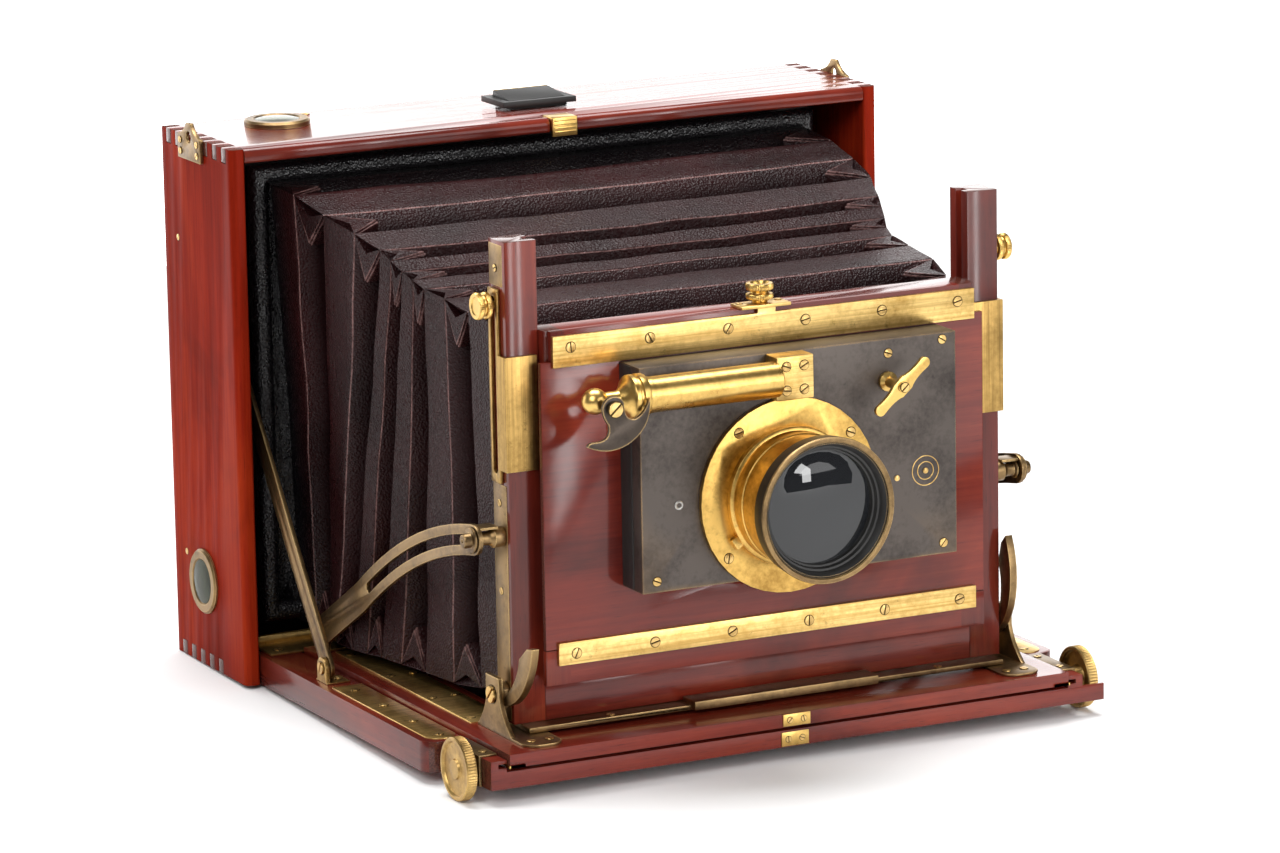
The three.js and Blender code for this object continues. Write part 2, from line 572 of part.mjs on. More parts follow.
// A curved lever that nips the standard upright; lean turns it forwards from its upright set.
function lockLever(side, lean) {
  const s = new THREE.Shape();
  s.moveTo(4, -1.6);
  s.bezierCurveTo(13, 5, 18.5, 11, 19.4, 18);
  s.lineTo(26.6, 23.6);
  s.lineTo(31.6, 24.4);
  s.bezierCurveTo(29, 10, 18, -3, 3.2, -4.4);
  s.absarc(0, 0, 4.4, -Math.PI * 0.3, -Math.PI * 1.85, true);
  const reach = s.getPoints(10).map((p) => {
    const c = Math.cos(lean);
    const n = Math.sin(lean);
    return [TILT.y - (p.x * c - p.y * n), TILT.z + (p.x * n + p.y * c)];
  });
  const arm = sideways(outline(reach), side * 110.2, side * 113.4);
  const start = Math.min(side * 109, side * 115);
  return cut(arm, rod(TILT.pinR + 0.2, 6, 'x', [start, TILT.y, TILT.z]));
}

// Centre line of the slotted stay: straight from its pivot, then bending over to the clamp.
function stayCentre() {
  const foot = new THREE.Vector2(STAY.y, STAY.z);
  const bend = new THREE.Vector2(-57, 47);
  const clamp = new THREE.Vector2(CLAMP.y, CLAMP.z);
  const curve = new THREE.QuadraticBezierCurve(bend, new THREE.Vector2(-111, 84.8), clamp);
  return { foot, curved: curve.getSpacedPoints(12) };
}

function stay(side) {
  const { foot, curved } = stayCentre();
  const shape = barOutline([foot, ...curved], STAY.w / 2);
  shape.holes.push(new THREE.Path().absarc(foot.x, foot.y, 1.8, 0, Math.PI * 2));
  const slot = barOutline(curved.slice(1), STAY.slot / 2).getPoints(8).reverse();
  shape.holes.push(new THREE.Path(slot));
  return sideways(shape, side * STAY.x, side * (STAY.x + STAY.t), 8);
}

// The post at the back of the track that a stay turns on.
function stayLug(side) {
  const cheekX = [side * (STAY.x - RUN), side * (STAY.x - RUN - 2.2)];
  const z = TRACK.z1 + GLUE;
  const s = new THREE.Shape();
  s.moveTo(STAY.y - 5, z);
  s.lineTo(STAY.y + 5, z);
  s.lineTo(STAY.y + 4, STAY.z);
  s.absarc(STAY.y, STAY.z, 4, 0, Math.PI);
  s.closePath();
  const cheek = sideways(s, ...cheekX, 8);
  const foot = block([cheekX[0], side * 103], [STAY.y - 5, STAY.y + 5], [z, z + 1]);
  const pin = rod(1.5, 6, 'x', [Math.min(side * (STAY.x - 2), side * (STAY.x + 4)), STAY.y, STAY.z]);
  return join(cheek, foot, pin);
}

function buildTrack() {
  add('track_frame', trackFrame(), wood());
  SIDES.forEach((side) => {
    const name = sideName(side);
    add(`rack_${name}`, rack(side), brass());
    add(`foot_bracket_${name}`, footBracket(side), bronze());
    add(`lock_lever_${name}`, lockLever(side, LEVER_LEAN[name]), bronze());
    add(`stay_${name}`, stay(side), bronze());
    add(`stay_lug_${name}`, stayLug(side), brass());
  });
}

// ---------------------------------------------------------------- front standard
function upright(side) {
  const { x0, x1, y0, y1, z0, z1 } = UPRIGHT;
  const body = block([side * x0, side * x1], [y0, y1], [z0, z1]);
  const groove = block([side * (x0 - 1), side * (x0 + 3)], [-167.6, -163.4], [SILL_TOP + 2, z1 + 1]);
  const start = (length) => Math.min(side * (UPRIGHT.x1 + 1), side * (UPRIGHT.x1 + 1 - length));
  const pivotHole = rod(TILT.pinR + 0.2, 8, 'x', [start(8), TILT.y, TILT.z]);
  const clampHole = rod(1.8, 6, 'x', [start(6), RISE.y, RISE.z]);
  const stayHole = rod(1.8, 6, 'x', [start(6), CLAMP.y, CLAMP.z]);
  return cut(body, groove, pivotHole, clampHole, stayHole);
}

function sill() {
  const half = UPRIGHT.x0 - GLUE;
  return block([-half, half], [UPRIGHT.y0, UPRIGHT.y1], [UPRIGHT.z0, SILL_TOP]);
}

// Brass bar under the sill, thicker along its middle where the hand takes it.
function sillBar() {
  const bar = block([-107, 107], [UPRIGHT.y0 - 8, TILT.y], [15.95, UPRIGHT.z0 - GLUE]);
  const grip = block([-36, 47], [UPRIGHT.y0 - 12, UPRIGHT.y0 - 1], [16.6, 20.2]);
  return join(bar, grip);
}

// Boss, slot pin and nut of a stay clamp, turned as one piece.
function stayClamp(side) {
  const inner = STAY.x - CLAMP_ROOT - 0.2;
  const outer = STAY.x + STAY.t - CLAMP_ROOT + 0.2;
  const profile = [[0, 0], [1.5, 0], [1.5, 5.2], [4, 5.2], [4, inner], [1.4, inner], [1.4, outer],
    [4.6, outer], [4.6, outer + 2.4], [2.6, outer + 3.2], [2.6, outer + 4.8], [0, outer + 4.8]];
  return turned(profile, side < 0 ? '-x' : 'x', [side * CLAMP_ROOT, CLAMP.y, CLAMP.z]);
}

function riseClamp(side) {
  const profile = [[0, 0], [1.5, 0], [1.5, 7], [3.4, 7], [3.4, 8], [5.3, 8], [5.3, 10], [4.4, 10.6],
    [4.4, 11.2], [5.3, 11.8], [5.3, 13.6], [4.6, 14.2], [0, 14.2]];
  return turned(profile, side < 0 ? '-x' : 'x', [side * CLAMP_ROOT, RISE.y, RISE.z]);
}

function buildStandard() {
  SIDES.forEach((side) => {
    const name = sideName(side);
    add(`upright_${name}`, upright(side), wood());
    add(`stay_clamp_${name}`, stayClamp(side), bronze());
    add(`rise_clamp_${name}`, riseClamp(side), brass());
  });
  add('standard_sill', sill(), wood());
  add('sill_bar', sillBar(), bronze());
}

// ---------------------------------------------------------------- rising front
function risingFrame() {
  const { halfW, back, step, face, z0, z1 } = FRONT;
  const core = block([-halfW, halfW], [back, step], [z0, z1]);
  const topRail = block([-STRIP.halfW, STRIP.halfW], [step + 1, face], [PANEL.z1 + RUN, z1]);
  const bottomRail = block([-PANEL.halfW, PANEL.halfW], [step, face], [z0, PANEL.z0 - RUN]);
  const window = block([-78, 78], [back + 1, face - 1], [58, 152]);
  const screwHole = rod(1.8, 9, 'z', [THUMB.x, THUMB.y, z1 - 8]);
  const seat = block([-halfW, halfW], [step + 1, step - 1], [z0, PANEL.z0 - RUN]);
  return cut(join(core, topRail, seat, bottomRail), window, screwHole);
}

function topStrip() {
  const [z0, z1] = STRIP.z;
  const faceY = [FRONT.face - GLUE, FRONT.face - GLUE - STRIP.t];
  const strip = block([-STRIP.halfW, STRIP.halfW], faceY, [z0, z1]);
  const neck = block([-4, 4], faceY, [z1 - 1, FRONT.z1 + 1.4]);
  const plate = block([-11, 11], [faceY[1], -171.5], [FRONT.z1 + GLUE, FRONT.z1 + 1.4]);
  return cut(join(strip, neck, plate), rod(1.8, 4, 'z', [THUMB.x, THUMB.y, FRONT.z1 - 1]));
}

// Brass sleeve round the upright's front corner, with the long slotted strip up its side.
function riseGuide(side) {
  const innerX = side * (UPRIGHT.x1 + GLUE);
  const outerX = side * (UPRIGHT.x1 + 1.6);
  const front = UPRIGHT.y0 - 1.8;
  const face = block([side * 97.3, outerX], [front, UPRIGHT.y0 - GLUE], RISE.sleeve);
  const cheek = block([innerX, outerX], [front, RISE.y - 4], RISE.sleeve);
  const strip = block([innerX, outerX], [RISE.y - 4, RISE.y + 4], [RISE.z0, RISE.z1]);
  const half = RISE.slot / 2;
  const slotEnds = [RISE.z0 + 5.6, RISE.z1 - 5].map((z) => new THREE.Vector2(RISE.y, z));
  const slot = sideways(barOutline(slotEnds, half), side * 108, side * 113);
  return cut(join(face, cheek, strip), slot);
}

function thumbScrew() {
  const profile = [[0, 0], [1.5, 0], [1.5, 7], [3.2, 7], [3.2, 8.2], [5.4, 8.6], [5.4, 10.2],
    [4, 10.8], [4, 11.6], [5.6, 12.2], [5.6, 14.2], [4.8, 14.8], [0, 14.8]];
  return turned(profile, 'z', [THUMB.x, THUMB.y, FRONT.z1 - 5.2]);
}

function buildRisingFront() {
  add('rising_frame', risingFrame(), wood());
  add('top_strip', topStrip(), brass());
  SIDES.forEach((side) => add(`rise_guide_${sideName(side)}`, riseGuide(side), bronze()));
  add('thumb_screw', thumbScrew(), brass());
}

// ---------------------------------------------------------------- lens board, shutter, lens
const lensBore = (r, length, y) => rod(r, length, '-y', [0, y, LENS.z], ROUND);

function lensBoard() {
  const y = [PANEL_FACE, PANEL_FACE + PANEL.t];
  const panel = block([-PANEL.halfW, PANEL.halfW], y, [PANEL.z0, PANEL.z1]);
  return cut(panel, lensBore(LENS.bore + 6, 12, PANEL_FACE + 8));
}

function shutterCase() {
  const y = [PANEL_FACE - GLUE, SHUTTER_FACE];
  const body = block([SHUTTER.x0, SHUTTER.x1], y, [SHUTTER.z0, SHUTTER.z1]);
  return cut(body, lensBore(LENS.bore, 30, PANEL_FACE + 5));
}

// Air brake cylinder with its cap ring and ball end, seated in its mounting block.
function brakeCylinder() {
  const { r, left, right } = CYL;
  const cap = 8.5;
  const ballR = 5.2;
  const ballAt = right - left + cap + 13;
  const length = right - left;
  const profile = [[0, 0], [r, 0], [r, length], [r + 1.8, length + 1], [r + 1.8, length + cap - 1.4],
    [r, length + cap], [3.2, length + cap + 4]];
  for (let a = 45; a <= 180; a += 27) {
    const t = THREE.MathUtils.degToRad(a);
    profile.push([a === 180 ? 0 : ballR * Math.sin(t), ballAt - ballR * Math.cos(t)]);
  }
  const turnedBody = turned(profile, '-x', [right, CYL_Y, CYL.z], 24);
  const mountY = [SHUTTER_FACE - GLUE, SHUTTER_FACE - 9.6];
  const mount = block([right - 1, right + 15.5], mountY, [142.6, SHUTTER.z1]);
  return join(turnedBody, mount);
}

// The release lever: a round boss with an anchor-shaped blade below it.
function crescentLever() {
  const s = new THREE.Shape();
  s.moveTo(4.4, 1.4);
  s.quadraticCurveTo(4.6, -5.4, 9.2, -5);
  s.quadraticCurveTo(13.6, -3.6, 15.6, 2.6);
  s.quadraticCurveTo(16.6, -8, 8.2, -13.4);
  s.quadraticCurveTo(-1, -19.2, -11.6, -14);
  s.quadraticCurveTo(-11.2, -12.2, -8, -12.4);
  s.quadraticCurveTo(-1, -12.6, -2.2, -6.4);
  s.quadraticCurveTo(-4.6, -3.4, -4.8, 0);
  s.absarc(0, 0, 4.8, Math.PI, 0.3, true);
  const y = CRESCENT.y;
  const blade = frontal(s, y + CRESCENT.t, y, 8);
  const pivot = rod(1.9, 2 * CRESCENT.t, '-y', [0, y + CRESCENT.t, 0]);
  return join(blade, pivot).translate([CRESCENT.x, 0, CRESCENT.z]);
}

function wingHandle() {
  const half = new THREE.Shape();
  half.moveTo(-2.6, -3.2);
  half.lineTo(2.6, -3.2);
  half.quadraticCurveTo(6, -1.4, 13, -2.2);
  half.absarc(13.2, 0, 2.2, -Math.PI / 2, Math.PI / 2);
  half.quadraticCurveTo(6, 1.4, 2.6, 3.2);
  half.lineTo(-2.6, 3.2);
  half.quadraticCurveTo(-6, 1.4, -13, 2.2);
  half.absarc(-13.2, 0, 2.2, Math.PI / 2, Math.PI * 1.5);
  half.quadraticCurveTo(-6, -1.4, -2.6, -3.2);
  const blade = frontal(half, WING.front + WING.t, WING.front, 6).rotate([0, -WING.lean, 0]);
  const length = SHUTTER_FACE - RUN - WING.front;
  const spindle = turned([[0, 0], [4, 0], [4, 1.6], [2.3, 2.4], [2.3, length + 0.9], [0, length + 1.5]],
    '-y', [0, SHUTTER_FACE - RUN, 0]);
  return join(blade, spindle).translate([WING.x, 0, WING.z]);
}

// A ring on the lens axis, from yBack forwards.
function lensRing(inner, outer, yBack, length) {
  const profile = [[inner, 0], [outer, 0], [outer, length], [inner, length], [inner, 0]];
  return turned(profile, '-y', [0, yBack, LENS.z], ROUND);
}

function lensBarrel() {
  const tubeLength = FLANGE_FACE - GLUE - HOOD_FRONT;
  const { barrelR, hoodR, glassR, bore } = LENS;
  const profile = [[glassR + 1, 0], [barrelR, 0], [barrelR, tubeLength - 7], [hoodR, tubeLength - 6.4],
    [hoodR, tubeLength - 0.6], [hoodR - 0.8, tubeLength], [hoodR - 1.8, tubeLength - 0.4],
    [bore, tubeLength - 6], [glassR + 1, tubeLength - 7], [glassR + 1, 0]];
  return turned(profile, '-y', [0, FLANGE_FACE - GLUE, LENS.z], ROUND);
}

// A lens element with a domed front.
function element(yBack, thickness, dome) {
  const r = LENS.glassR + 0.8;
  const profile = [[0, 0], [r, 0], [r, thickness]];
  for (let i = 4; i >= 0; i -= 1) {
    const out = i / 4;
    profile.push([(r - 1) * out, thickness + dome * (1 - out ** 2)]);
  }
  return turned(profile, '-y', [0, yBack, LENS.z], 28);
}

function buildLens() {
  add('lens_board', lensBoard(), wood());
  add('shutter_case', shutterCase(), black());
  add('brake_cylinder', brakeCylinder(), brass());
  add('release_lever', crescentLever(), bronze());
  add('wing_handle', wingHandle(), brass());
  add('lens_flange', lensRing(LENS.bore - 0.5, LENS.flangeR, SHUTTER_FACE - GLUE, FLANGE_T), brass());
  add('lens_barrel', lensBarrel(), brass());
  add('front_element', element(-219.4, 3.4, 2.2), glass());
  add('rear_element', element(-200.6, 3, 1.5), glass());
}

buildBox();
add('bellows', bellows(), leather());
buildBed();
buildTrack();
buildStandard();
buildRisingFront();
buildLens();

const lowest = PINION.z - KNOB.r;
camera.position.set(0, -(HOOD_FRONT + BOX.d) / 2, -lowest);

export default camera;
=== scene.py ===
import math
import random
from collections import namedtuple

import bpy
from mathutils import Matrix, Vector, noise


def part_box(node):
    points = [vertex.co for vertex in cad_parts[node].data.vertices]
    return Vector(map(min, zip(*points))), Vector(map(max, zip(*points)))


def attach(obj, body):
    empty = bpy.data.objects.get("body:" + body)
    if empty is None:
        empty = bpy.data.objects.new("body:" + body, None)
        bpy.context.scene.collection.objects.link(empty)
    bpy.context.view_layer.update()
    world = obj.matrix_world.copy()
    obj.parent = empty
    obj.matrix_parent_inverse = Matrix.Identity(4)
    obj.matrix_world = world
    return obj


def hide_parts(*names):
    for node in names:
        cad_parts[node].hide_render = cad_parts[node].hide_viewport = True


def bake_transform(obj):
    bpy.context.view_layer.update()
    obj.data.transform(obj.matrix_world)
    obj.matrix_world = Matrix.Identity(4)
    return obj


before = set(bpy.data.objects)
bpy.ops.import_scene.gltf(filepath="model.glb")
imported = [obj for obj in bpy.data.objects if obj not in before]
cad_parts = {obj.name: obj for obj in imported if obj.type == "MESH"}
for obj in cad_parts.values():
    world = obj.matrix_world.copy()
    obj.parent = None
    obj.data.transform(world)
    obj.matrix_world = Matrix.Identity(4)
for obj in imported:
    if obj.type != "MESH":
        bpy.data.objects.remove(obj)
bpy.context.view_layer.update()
random.seed(7)

# ---------------------------------------------------------------- places and sizes
# Lengths are in millimetres from the box's front lower edge: x to the right seen from the
# front, y backwards, z up. at() turns them into the row frame's metres.
BOX_LOW, BOX_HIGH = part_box("box_left_board")
MM = 0.001
SIDES = ((-1, "left"), (1, "right"))     # which way x goes, and the name
FORWARD, UP = (0, -1, 0), (0, 0, 1)


def at(x, y, z):
    return Vector((x * MM, BOX_LOW.y + y * MM, BOX_LOW.z + z * MM))


def node_box(name):
    """A CAD node's lowest and highest corners, in the same millimetres as at()."""
    low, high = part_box(name)
    shift = Vector((0, BOX_LOW.y, BOX_LOW.z))
    return (low - shift) / MM, (high - shift) / MM


def node_end(name, direction):
    """The middle of the side of a CAD node's box that looks in a direction along one axis."""
    low, high = node_box(name)
    return Vector([high[k] if way > 0 else low[k] if way < 0 else (low[k] + high[k]) / 2
                   for k, way in enumerate(direction)])


def middle(name):
    return node_end(name, (0, 0, 0))


STRIP_HALF = node_box("top_strip")[1].x
PANEL_FACE = node_box("lens_board")[0].y
SHUTTER_LOW, SHUTTER_HIGH = node_box("shutter_case")
SHUTTER_FACE = SHUTTER_LOW.y
FLANGE_FACE = node_box("lens_flange")[0].y
LENS_Z = middle("lens_flange").z
HOOD_FRONT = node_box("lens_barrel")[0].y
UPRIGHT_LOW, UPRIGHT_HIGH = node_box("upright_right")
TRACK_LOW, TRACK_HIGH = node_box("track_frame")
BED_LOW, BED_HIGH = node_box("bed_frame")

# ---------------------------------------------------------------- shader helpers
MATERIALS = {}


def new_material(name):
    """Adds an empty material to MATERIALS and returns its node tree."""
    material = MATERIALS[name] = bpy.data.materials.new(name)
    material.use_nodes = True
    material.node_tree.nodes.clear()
    return material.node_tree


def node(tree, kind, inputs=None, **settings):
    made = tree.nodes.new("ShaderNode" + kind)
    for key, value in settings.items():
        setattr(made, key, value)
    for key, value in (inputs or {}).items():
        socket = made.inputs[key]
        if isinstance(value, bpy.types.NodeSocket):
            tree.links.new(value, socket)
        else:
            socket.default_value = value
    return made


def place(tree):
    return node(tree, "TexCoord").outputs["Object"]


def scaled(tree, vector, scale):
    return node(tree, "Mapping", {"Vector": vector, "Scale": scale}).outputs[0]


def noise_fac(tree, vector, scale, detail=4.0, roughness=0.55, distortion=0.0):
    made = node(tree, "TexNoise", {"Vector": vector, "Scale": scale, "Detail": detail,
                                   "Roughness": roughness, "Distortion": distortion})
    return made.outputs["Fac"]


AXES = "XYZ"
UNIT = {"X": (1, 0, 0), "Y": (0, 1, 0), "Z": (0, 0, 1)}


def streaks(tree, where, axis, along, across, detail, roughness, distortion=0.0):
    """Noise drawn out along one axis: along and across are its scales."""
    scale = [across] * 3
    scale[AXES.index(axis)] = along
    return noise_fac(tree, scaled(tree, where, scale), 1.0, detail, roughness, distortion)


def ramp(tree, fac, *stops):
    """Colours at positions between 0 and 1, each stop being (position, colour)."""
    made = node(tree, "ValToRGB", {"Fac": fac})
    band = made.color_ramp
    while len(band.elements) < len(stops):
        band.elements.new(0.5)
    for element, (position, colour) in zip(band.elements, stops):
        element.position = position
        element.color = (*colour, 1.0)
    return made.outputs["Color"]


def grey_ramp(tree, fac, low, high, a=0.0, b=1.0):
    return node(tree, "MapRange", {"Value": fac, "From Min": low, "From Max": high,
                                   "To Min": a, "To Max": b}).outputs[0]


def calc(tree, operation, a, b=0.0, clamp=False):
    return node(tree, "Math", {0: a, 1: b}, operation=operation, use_clamp=clamp).outputs[0]


def times(tree, a, b):
    return calc(tree, "MULTIPLY", a, b)


def plus(tree, a, b):
    return calc(tree, "ADD", a, b)


def vector_calc(tree, operation, a, b=(0, 0, 0)):
    made = node(tree, "VectorMath", {0: a, 1: b}, operation=operation)
    return made.outputs["Value" if operation == "DOT_PRODUCT" else "Vector"]


def mesh_value(tree, name):
    return node(tree, "Attribute", attribute_name=name).outputs["Fac"]


def blend_colours(tree, fac, a, b):
    made = node(tree, "Mix", data_type="RGBA")
    for index, value in ((0, fac), (6, a), (7, b)):
        if isinstance(value, bpy.types.NodeSocket):
            tree.links.new(value, made.inputs[index])
        else:
            made.inputs[index].default_value = (*value, 1.0)
    return made.outputs[2]


def bump(tree, height, distance, strength=1.0):
    return node(tree, "Bump", {"Height": height, "Distance": distance,
                               "Strength": strength}).outputs[0]


def edge_mask(tree, radius, low=0.02, high=0.25):
    """1 where an edge is near: the rounded normal leans away from the true one."""
    soft = node(tree, "Bevel", {"Radius": radius}, samples=4).outputs[0]
    true = node(tree, "NewGeometry").outputs["True Normal"]
    lean = vector_calc(tree, "DOT_PRODUCT", soft, true)
    return grey_ramp(tree, calc(tree, "SUBTRACT", 1.0, lean), low, high)


def faces_along(tree, axis):
    """1 on a surface that faces along an axis, either way."""
    normal = node(tree, "NewGeometry").outputs["Normal"]
    lean = calc(tree, "ABSOLUTE", vector_calc(tree, "DOT_PRODUCT", normal, UNIT[axis]))
    return calc(tree, "GREATER_THAN", lean, 0.75)


def finish_surface(tree, inputs):
    shader = node(tree, "BsdfPrincipled", inputs)
    node(tree, "OutputMaterial", {"Surface": shader.outputs[0]})


# ---------------------------------------------------------------- materials
# Wood tones are dark, middle and light wood, and the tone of the pores and clouds.
WOOD_TONES = ((0.078, 0.007, 0.005), (0.170, 0.017, 0.008), (0.265, 0.034, 0.013), (0.022, 0.004, 0.003))
# Painted light: the side boards get brighter, redder tones of their own, drawn as lit more strongly than
# the top and front.
LIT_SIDE_TONES = ((0.120, 0.007, 0.002), (0.240, 0.014, 0.004), (0.360, 0.034, 0.007), (0.06, 0.006, 0.003))
END_GRAIN = ((0.040, 0.010, 0.007), (0.150, 0.038, 0.022))
HANDLED_EDGE = (0.055, 0.016, 0.012)
# Painted shadow: the colour of the disc under a screw head, standing in for its shadow gap.
SCREW_PAINTED_SHADOW = (0.012, 0.008, 0.004)
LEATHER_TONES = ((0.012, 0.0030, 0.0032), (0.030, 0.0072, 0.0075))
# Painted shade: the colour that darkens the fold valleys, where they lie in shadow.
LEATHER_PAINTED_SHADE = (0.004, 0.0012, 0.0014)
LEATHER_RUBBED = (0.250, 0.135, 0.125)
LEATHER_BLACK = (0.006, 0.005, 0.006)
GLASS_GREY = (0.72, 0.75, 0.74, 1.0)
FLOOR_GREYS = ((0.92,) * 3, (0.95,) * 3)


def grain_colour(tree, where, axis, tones):
    """Mahogany colour for a board whose grain runs along one axis, and its grain lines."""
    figure = streaks(tree, where, axis, 7, 26, 3, 0.5, 0.6)
    lines = streaks(tree, where, axis, 16, 420, 5, 0.6, 0.3)
    pores = streaks(tree, where, axis, 110, 2600, 2, 0.5)
    clouds = streaks(tree, where, axis, 9, 15, 4, 0.6, 0.8)
    mixed = plus(tree, times(tree, figure, 0.6), times(tree, lines, 0.4))
    colour = ramp(tree, mixed, *zip((0.30, 0.5, 0.70), tones))
    colour = blend_colours(tree, times(tree, grey_ramp(tree, pores, 0.62, 0.74), 0.55), colour, tones[3])
    return blend_colours(tree, grey_ramp(tree, clouds, 0.46, 0.68, 0.0, 0.60), colour, tones[3]), lines


def frame_side(tree, where, limit, behind):
    """1 past |x| = limit, and where behind is given, only further back than that."""
    x, y = node(tree, "SeparateXYZ", {0: where}).outputs[:2]
    mask = calc(tree, "GREATER_THAN", calc(tree, "ABSOLUTE", x), limit * MM)
    if behind is None:
        return mask
    return times(tree, mask, calc(tree, "GREATER_THAN", y, at(0, behind, 0).y))


def mahogany(name, axis, tones=WOOD_TONES, other=None, limit=0.0, behind=None, coat=0.75, gloss=0.06):
    """Polished mahogany with its grain along one axis, turned to the other axis in the side
    members of a frame."""
    tree = new_material(name)
    where = place(tree)
    colour, lines = grain_colour(tree, where, axis, tones)
    end = faces_along(tree, axis)
    if other:
        side = frame_side(tree, where, limit, behind)
        colour = blend_colours(tree, side, colour, grain_colour(tree, where, other, tones)[0])
        end = plus(tree, times(tree, end, calc(tree, "SUBTRACT", 1.0, side)),
                   times(tree, faces_along(tree, other), side))
    speck = noise_fac(tree, where, 1500.0, 3, 0.7)
    colour = blend_colours(tree, end, colour, ramp(tree, speck, *zip((0.35, 0.7), END_GRAIN)))
    handling = noise_fac(tree, where, 45.0, 5, 0.65)
    worn = times(tree, edge_mask(tree, 0.0012, 0.03, 0.3), grey_ramp(tree, handling, 0.40, 0.62, 0.0, 0.55))
    colour = blend_colours(tree, worn, colour, HANDLED_EDGE)
    scratches = streaks(tree, where, "X", 260, 30, 6, 0.8)
    relief = plus(tree, times(tree, lines, 0.5), times(tree, scratches, 0.4))
    finish_surface(tree, {
        "Base Color": colour, "Roughness": 0.5, "Specular IOR Level": gloss, "Coat Weight": coat,
        "Coat Roughness": plus(tree, 0.06, times(tree, handling, 0.14)), "Coat IOR": 1.5,
        "Normal": bump(tree, relief, 0.00006, 0.5),
        "Coat Normal": bump(tree, noise_fac(tree, where, 60.0, 2, 0.5), 0.00035, 0.20)})


def turning_marks(tree, where, centre, axis):
    """A brushed shine in rings round an axis."""
    spoke = vector_calc(tree, "SUBTRACT", where, centre)
    ring = vector_calc(tree, "CROSS_PRODUCT", spoke, axis)
    return {"Anisotropic": 0.75, "Tangent": vector_calc(tree, "NORMALIZE", ring)}


def metal(name, bright, dull, rough, brush=None, tarnish=0.45, wear=0.0, wear_colour=None, metallic=1.0,
          turned=None, painted_shadow=False):
    """Brass and other metals: patchy tone, fine brushing, tarnish spots and rubbed edges. A turned
    piece has rings round its axis, given as a point and a direction. The last argument turns on painted
    shadow: a mesh attribute of the same name is 1 under a screw head, and there the metal is painted dark
    as the head's shadow."""
    tree = new_material(name)
    where = place(tree)
    patches = noise_fac(tree, where, 38.0, 5, 0.6)
    height = fine = noise_fac(tree, where, 420.0, 4, 0.65)
    mixed = plus(tree, times(tree, patches, 0.65), times(tree, fine, 0.35))
    colour = ramp(tree, mixed, (0.34, dull), (0.56, bright))
    if brush:
        height = streaks(tree, where, brush, 14.0, 900.0, 4, 0.7)
        streak = grey_ramp(tree, height, 0.42, 0.66)
        colour = blend_colours(tree, times(tree, streak, 0.85), colour, dull)
    spots = grey_ramp(tree, noise_fac(tree, where, 160.0, 6, 0.75), 0.60, 0.70, 0.0, tarnish)
    colour = blend_colours(tree, spots, colour, tuple(channel * 0.35 for channel in dull))
    if wear:
        rubbed = times(tree, edge_mask(tree, 0.0009), wear)
        rubbed = times(tree, rubbed, grey_ramp(tree, patches, 0.35, 0.55, 0.25, 1.0))
        colour = blend_colours(tree, rubbed, colour, wear_colour or bright)
    if painted_shadow:
        # Painted shadow: the disc under a screw head is darkened as the head's shadow gap.
        colour = blend_colours(tree, times(tree, mesh_value(tree, "painted_shadow"), 0.93), colour, SCREW_PAINTED_SHADOW)
    inputs = {"Base Color": colour, "Metallic": metallic,
              "Roughness": plus(tree, rough, times(tree, mixed, 0.18)),
              "Normal": bump(tree, height, 0.00004, 0.45)}
    if turned:
        inputs.update(turning_marks(tree, where, *turned))
    finish_surface(tree, inputs)


def leather(name):
    """Dark maroon pebbled leather. Mesh attributes: 'crest' is 1 on a worn fold line; the painted shade
    attribute is 1 deep in a valley, where shade is painted in as darker colour and less shine; and 'black'
    is 1 where the leather was blackened."""
    tree = new_material(name)
    where = place(tree)
    pebble = node(tree, "TexVoronoi", {"Vector": where, "Scale": 1050.0, "Randomness": 1.0},
                  feature="F1").outputs["Distance"]
    fine = noise_fac(tree, where, 2100.0, 3, 0.6)
    crease = streaks(tree, where, "Y", 420, 200, 4, 0.6, 0.8)
    black = mesh_value(tree, "black")
    line = grey_ramp(tree, mesh_value(tree, "crest"), 0.35, 0.80)
    rubbed = times(tree, line, grey_ramp(tree, crease, 0.35, 0.62, 0.35, 1.0))
    # Painted shade: the fold valleys are darkened and lose shine, as if shadowed.
    shade = calc(tree, "MULTIPLY", mesh_value(tree, "painted_shade"), 1.5, clamp=True)
    colour = ramp(tree, noise_fac(tree, where, 22.0, 4, 0.6), *zip((0.3, 0.7), LEATHER_TONES))
    colour = blend_colours(tree, times(tree, shade, 0.85), colour, LEATHER_PAINTED_SHADE)
    colour = blend_colours(tree, times(tree, rubbed, 0.9), colour, LEATHER_RUBBED)
    colour = blend_colours(tree, black, colour, LEATHER_BLACK)
    gloss = plus(tree, calc(tree, "SUBTRACT", 0.21, times(tree, shade, 0.20)), times(tree, black, 0.5))
    grain = plus(tree, times(tree, fine, 0.25), times(tree, crease, 0.3))
    height = plus(tree, times(tree, pebble, 0.9), grain)
    finish_surface(tree, {"Base Color": colour, "Roughness": plus(tree, 0.20, times(tree, crease, 0.18)),
                          "Specular IOR Level": gloss, "Normal": bump(tree, height, 0.00045, 1.0)})


def clear_glass(name, tint, roughness=0.0, transmission=1.0, ior=1.6):
    tree = new_material(name)
    smudge = noise_fac(tree, place(tree), 90.0, 4, 0.6)
    dirt_and_shadow = grey_ramp(tree, smudge, 0.45, 0.75, roughness, roughness + 0.05)
    finish_surface(tree, {"Base Color": (*tint, 1.0), "Roughness": dirt_and_shadow, "IOR": ior,
                          "Transmission Weight": transmission, "Specular IOR Level": 0.5})


def ground(name):
    tree = new_material(name)
    grit = noise_fac(tree, place(tree), 3500.0, 2, 0.6)
    finish_surface(tree, {"Base Color": GLASS_GREY, "Roughness": 0.55, "Transmission Weight": 0.55,
                          "IOR": 1.5, "Normal": bump(tree, grit, 0.00002, 0.6)})


